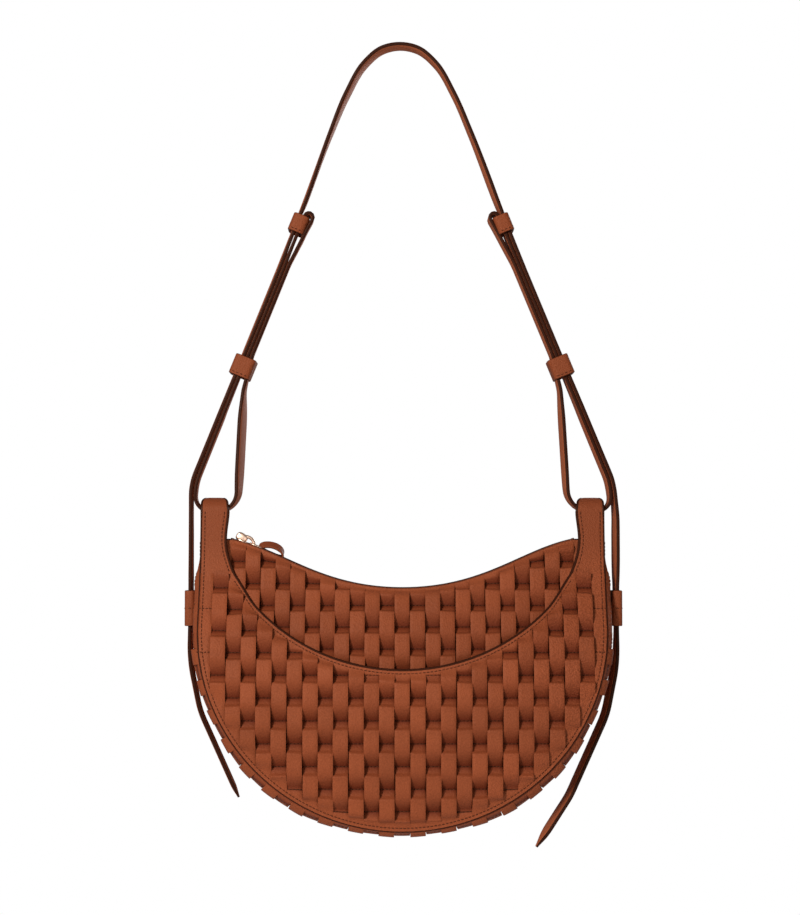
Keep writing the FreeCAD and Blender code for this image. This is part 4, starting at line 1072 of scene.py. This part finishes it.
# Slider: two rounded plates on a neck, a block at the back and a bail over the upper plate, laid along the
# chain at its resting angle; each block has its place along and above the chain, its half sizes and its power
sliderForm = {"turn": math.radians(31.578), "shift": -0.9, "raise": 0.7,
              "blocks": ((0.0, -1.8, (6.2, 2.6, 1.0), 0.45), (0.0, 1.5, (6.6, 2.7, 0.9), 0.45),
                         (-4.5, 3.4, (3.9, 1.7, 3.0), 0.7), (-3.6, 0.0, (1.5, 1.2, 2.4), 0.45)),
              "bail": {"middle": 0.3, "half": 4.4, "foot": 1.6, "height": 4.5, "power": 0.7, "bar": 1.05}}
along, rise = heading(-sliderForm["turn"]), heading(math.pi / 2 - sliderForm["turn"])


# A rounded block: the sphere's angles with each sine and cosine drawn out to a power below one.
def pillow(stock, centre, sizes, power):
    u = np.linspace(-math.pi / 2, math.pi / 2, 15)[:, None]
    v = np.linspace(0, 2 * math.pi, 28, endpoint=False)[None]
    bend = lambda value: np.sign(value) * np.abs(value) ** power
    parts = (bend(np.cos(u)) * bend(np.cos(v)), bend(np.cos(u)) * bend(np.sin(v)), bend(np.sin(u)) + 0 * v)
    points = centre + sum(size * part[..., None] * axis
                          for size, part, axis in zip(sizes, parts, (along, wayY, rise)))
    stock.grid(points, wrapV=True)


slider = Stock()
base = zipSpot(-sliderForm["turn"], 0.0, 0.0) + rise * sliderForm["raise"] + sliderForm["shift"] * along
for ahead, above, sizes, power in sliderForm["blocks"]:
    pillow(slider, base + ahead * along + above * rise, sizes, power)
bail, turn = sliderForm["bail"], np.linspace(0, math.pi, 30)[:, None]
bead(slider, base + (bail["middle"] + bail["half"] * np.cos(turn)) * along
     + (bail["foot"] + bail["height"] * np.sin(turn) ** bail["power"]) * rise, bail["bar"], sides=12)
slider.piece("zipSlider", roseMetal, "zip_slider", ("slider_body",))

# Ring: a long loop from the slider's pivot
ringForm = {"pivot": (-98.611, 0, -323.604), "turn": math.radians(-23), "length": 8.2, "half": 3.4,
            "corner": 2.6, "bar": 0.62}
ring = Stock()
oval = frameLine(0.0, ringForm["length"], ringForm["half"], ringForm["corner"])
ringWay = heading(ringForm["turn"])
bead(ring, ringForm["pivot"] + oval[:, 0:1] * ringWay + oval[:, 1:2] * wayY, ringForm["bar"], closed=True)
ring.piece("pullRing", roseMetal, "zip_pull", ("pull_ring",))

# Puller: a strip doubled through the ring into a drop that bulges on its upper side
pullerForm = {"turn": math.radians(-24), "half": 7.6, "start": 1.4, "hug": 1.7, "bulge": 3.6,
              "lead": (0, -0.79, -0.61), "width": 6.0, "thick": 1.6}
puller = Stock()
drop = np.linspace(0, 2 * math.pi, 60, endpoint=False)
pullWay, pullSide = heading(pullerForm["turn"]), heading(pullerForm["turn"] + math.pi / 2)
reach = pullerForm["half"] * (1 - np.cos(drop)) - pullerForm["start"]
spread = (pullerForm["hug"] * np.sign(np.sin(drop)) * np.abs(np.sin(drop)) ** 0.5
          + pullerForm["bulge"] * np.maximum(np.sin(drop), 0) * np.sin(drop / 2) ** 0.6)
path = (ringForm["pivot"] + ringForm["length"] * ringWay + reach[:, None] * pullWay
        + spread[:, None] * pullSide)
# The loop's inner face gets painted shade (below) in the edge paint's dark colour
ribbon(puller, path[::-1], unit(np.array(pullerForm["lead"])), pullerForm["width"], pullerForm["thick"],
       closed=True, painted=0.45, below=0.8)
puller.piece("leatherPuller", pullerLeather, "zip_pull", ("leather_puller",))

# The end stop and the board under the lining keep their CAD shape
for node, finish in (("zip_end_stop", roseMetal), ("base_board", boardFinish)):
    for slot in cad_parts[node].material_slots:
        slot.material = finish
print("zip and lining made")

# Light, floor and camera
studio = {"key": (-0.78, -1.48, 0.25, 0.40, 28.5), "fill": (0.50, -1.4, -0.75, 1.2, 5.0),
          "rear": (0.90, 1.45, 0.25, 1.0, 12.0), "lampAim": (0, 0, -0.33), "world": 0.21, "floorZ": -1.15,
          "floorRadius": 2.6, "floorGlow": 0.93, "camera": (-0.0016, -1.15, -0.340),
          "aim": (-0.0016, 0.0, -0.2975), "shiftY": 0.05, "lens": 69.6}


# Puts a lamp or the camera in the scene, turned to look at a point.
def stand(name, data, place, aim):
    made = bpy.data.objects.new(name, data)
    made.location = place
    made.rotation_euler = (Vector(aim) - made.location).to_track_quat("-Z", "Y").to_euler()
    scene.collection.objects.link(made)
    return made


for name in ("key", "fill", "rear"):
    x, y, z, size, power = studio[name]
    data = bpy.data.lights.new(name + "Lamp", "AREA")
    data.shape, data.size, data.energy = "DISK", size, power
    stand(name + "Lamp", data, (x, y, z), studio["lampAim"])

world = bpy.data.worlds.new("studioWorld")
scene.world = world
world.use_nodes = True
tree = world.node_tree
ray = tree.nodes.new("ShaderNodeLightPath")
seen = Wire(tree, ray.outputs["Is Camera Ray"])
strength = seen * (1.0 - studio["world"]) + studio["world"]
tree.links.new(strength.socket, tree.nodes["Background"].inputs["Strength"])
tree.nodes["Background"].inputs["Color"].default_value = (1, 1, 1, 1)

# The floor is a pale disc; what the camera sees of it is nearly all plain white, the rest takes the shadow
floorMesh = bpy.data.meshes.new("floor")
angle = np.linspace(0, 2 * math.pi, 96, endpoint=False)
disc = np.stack([studio["floorRadius"] * np.cos(angle), studio["floorRadius"] * np.sin(angle),
                 np.full(96, studio["floorZ"])], -1)
floorMesh.from_pydata(disc.tolist(), [], [list(range(96))])
floorDisc = bpy.data.objects.new("floor", floorMesh)
scene.collection.objects.link(floorDisc)
floorFinish, shader, wire, place = blankFinish("paleFloor")
dust = noise(wire, place, 30.0)
connect(shader, Base_Color=dust.pick((0.80, 0.80, 0.80, 1), (0.84, 0.84, 0.84, 1)), Roughness=0.9)
tree = floorFinish.node_tree
ray = tree.nodes.new("ShaderNodeLightPath")
glow = tree.nodes.new("ShaderNodeEmission")
blend = tree.nodes.new("ShaderNodeMixShader")
seen = Wire(tree, ray.outputs["Is Camera Ray"]) * studio["floorGlow"]
tree.links.new(seen.socket, blend.inputs[0])
tree.links.new(shader.outputs[0], blend.inputs[1])
tree.links.new(glow.outputs[0], blend.inputs[2])
tree.links.new(blend.outputs[0], tree.nodes["Material Output"].inputs["Surface"])
floorMesh.materials.append(floorFinish)

cameraData = bpy.data.cameras.new("camera")
cameraData.lens, cameraData.sensor_width, cameraData.shift_y = studio["lens"], 36.0, studio["shiftY"]
scene.camera = stand("camera", cameraData, studio["camera"], studio["aim"])
scene.view_settings.view_transform = "Standard"

print("scene made")
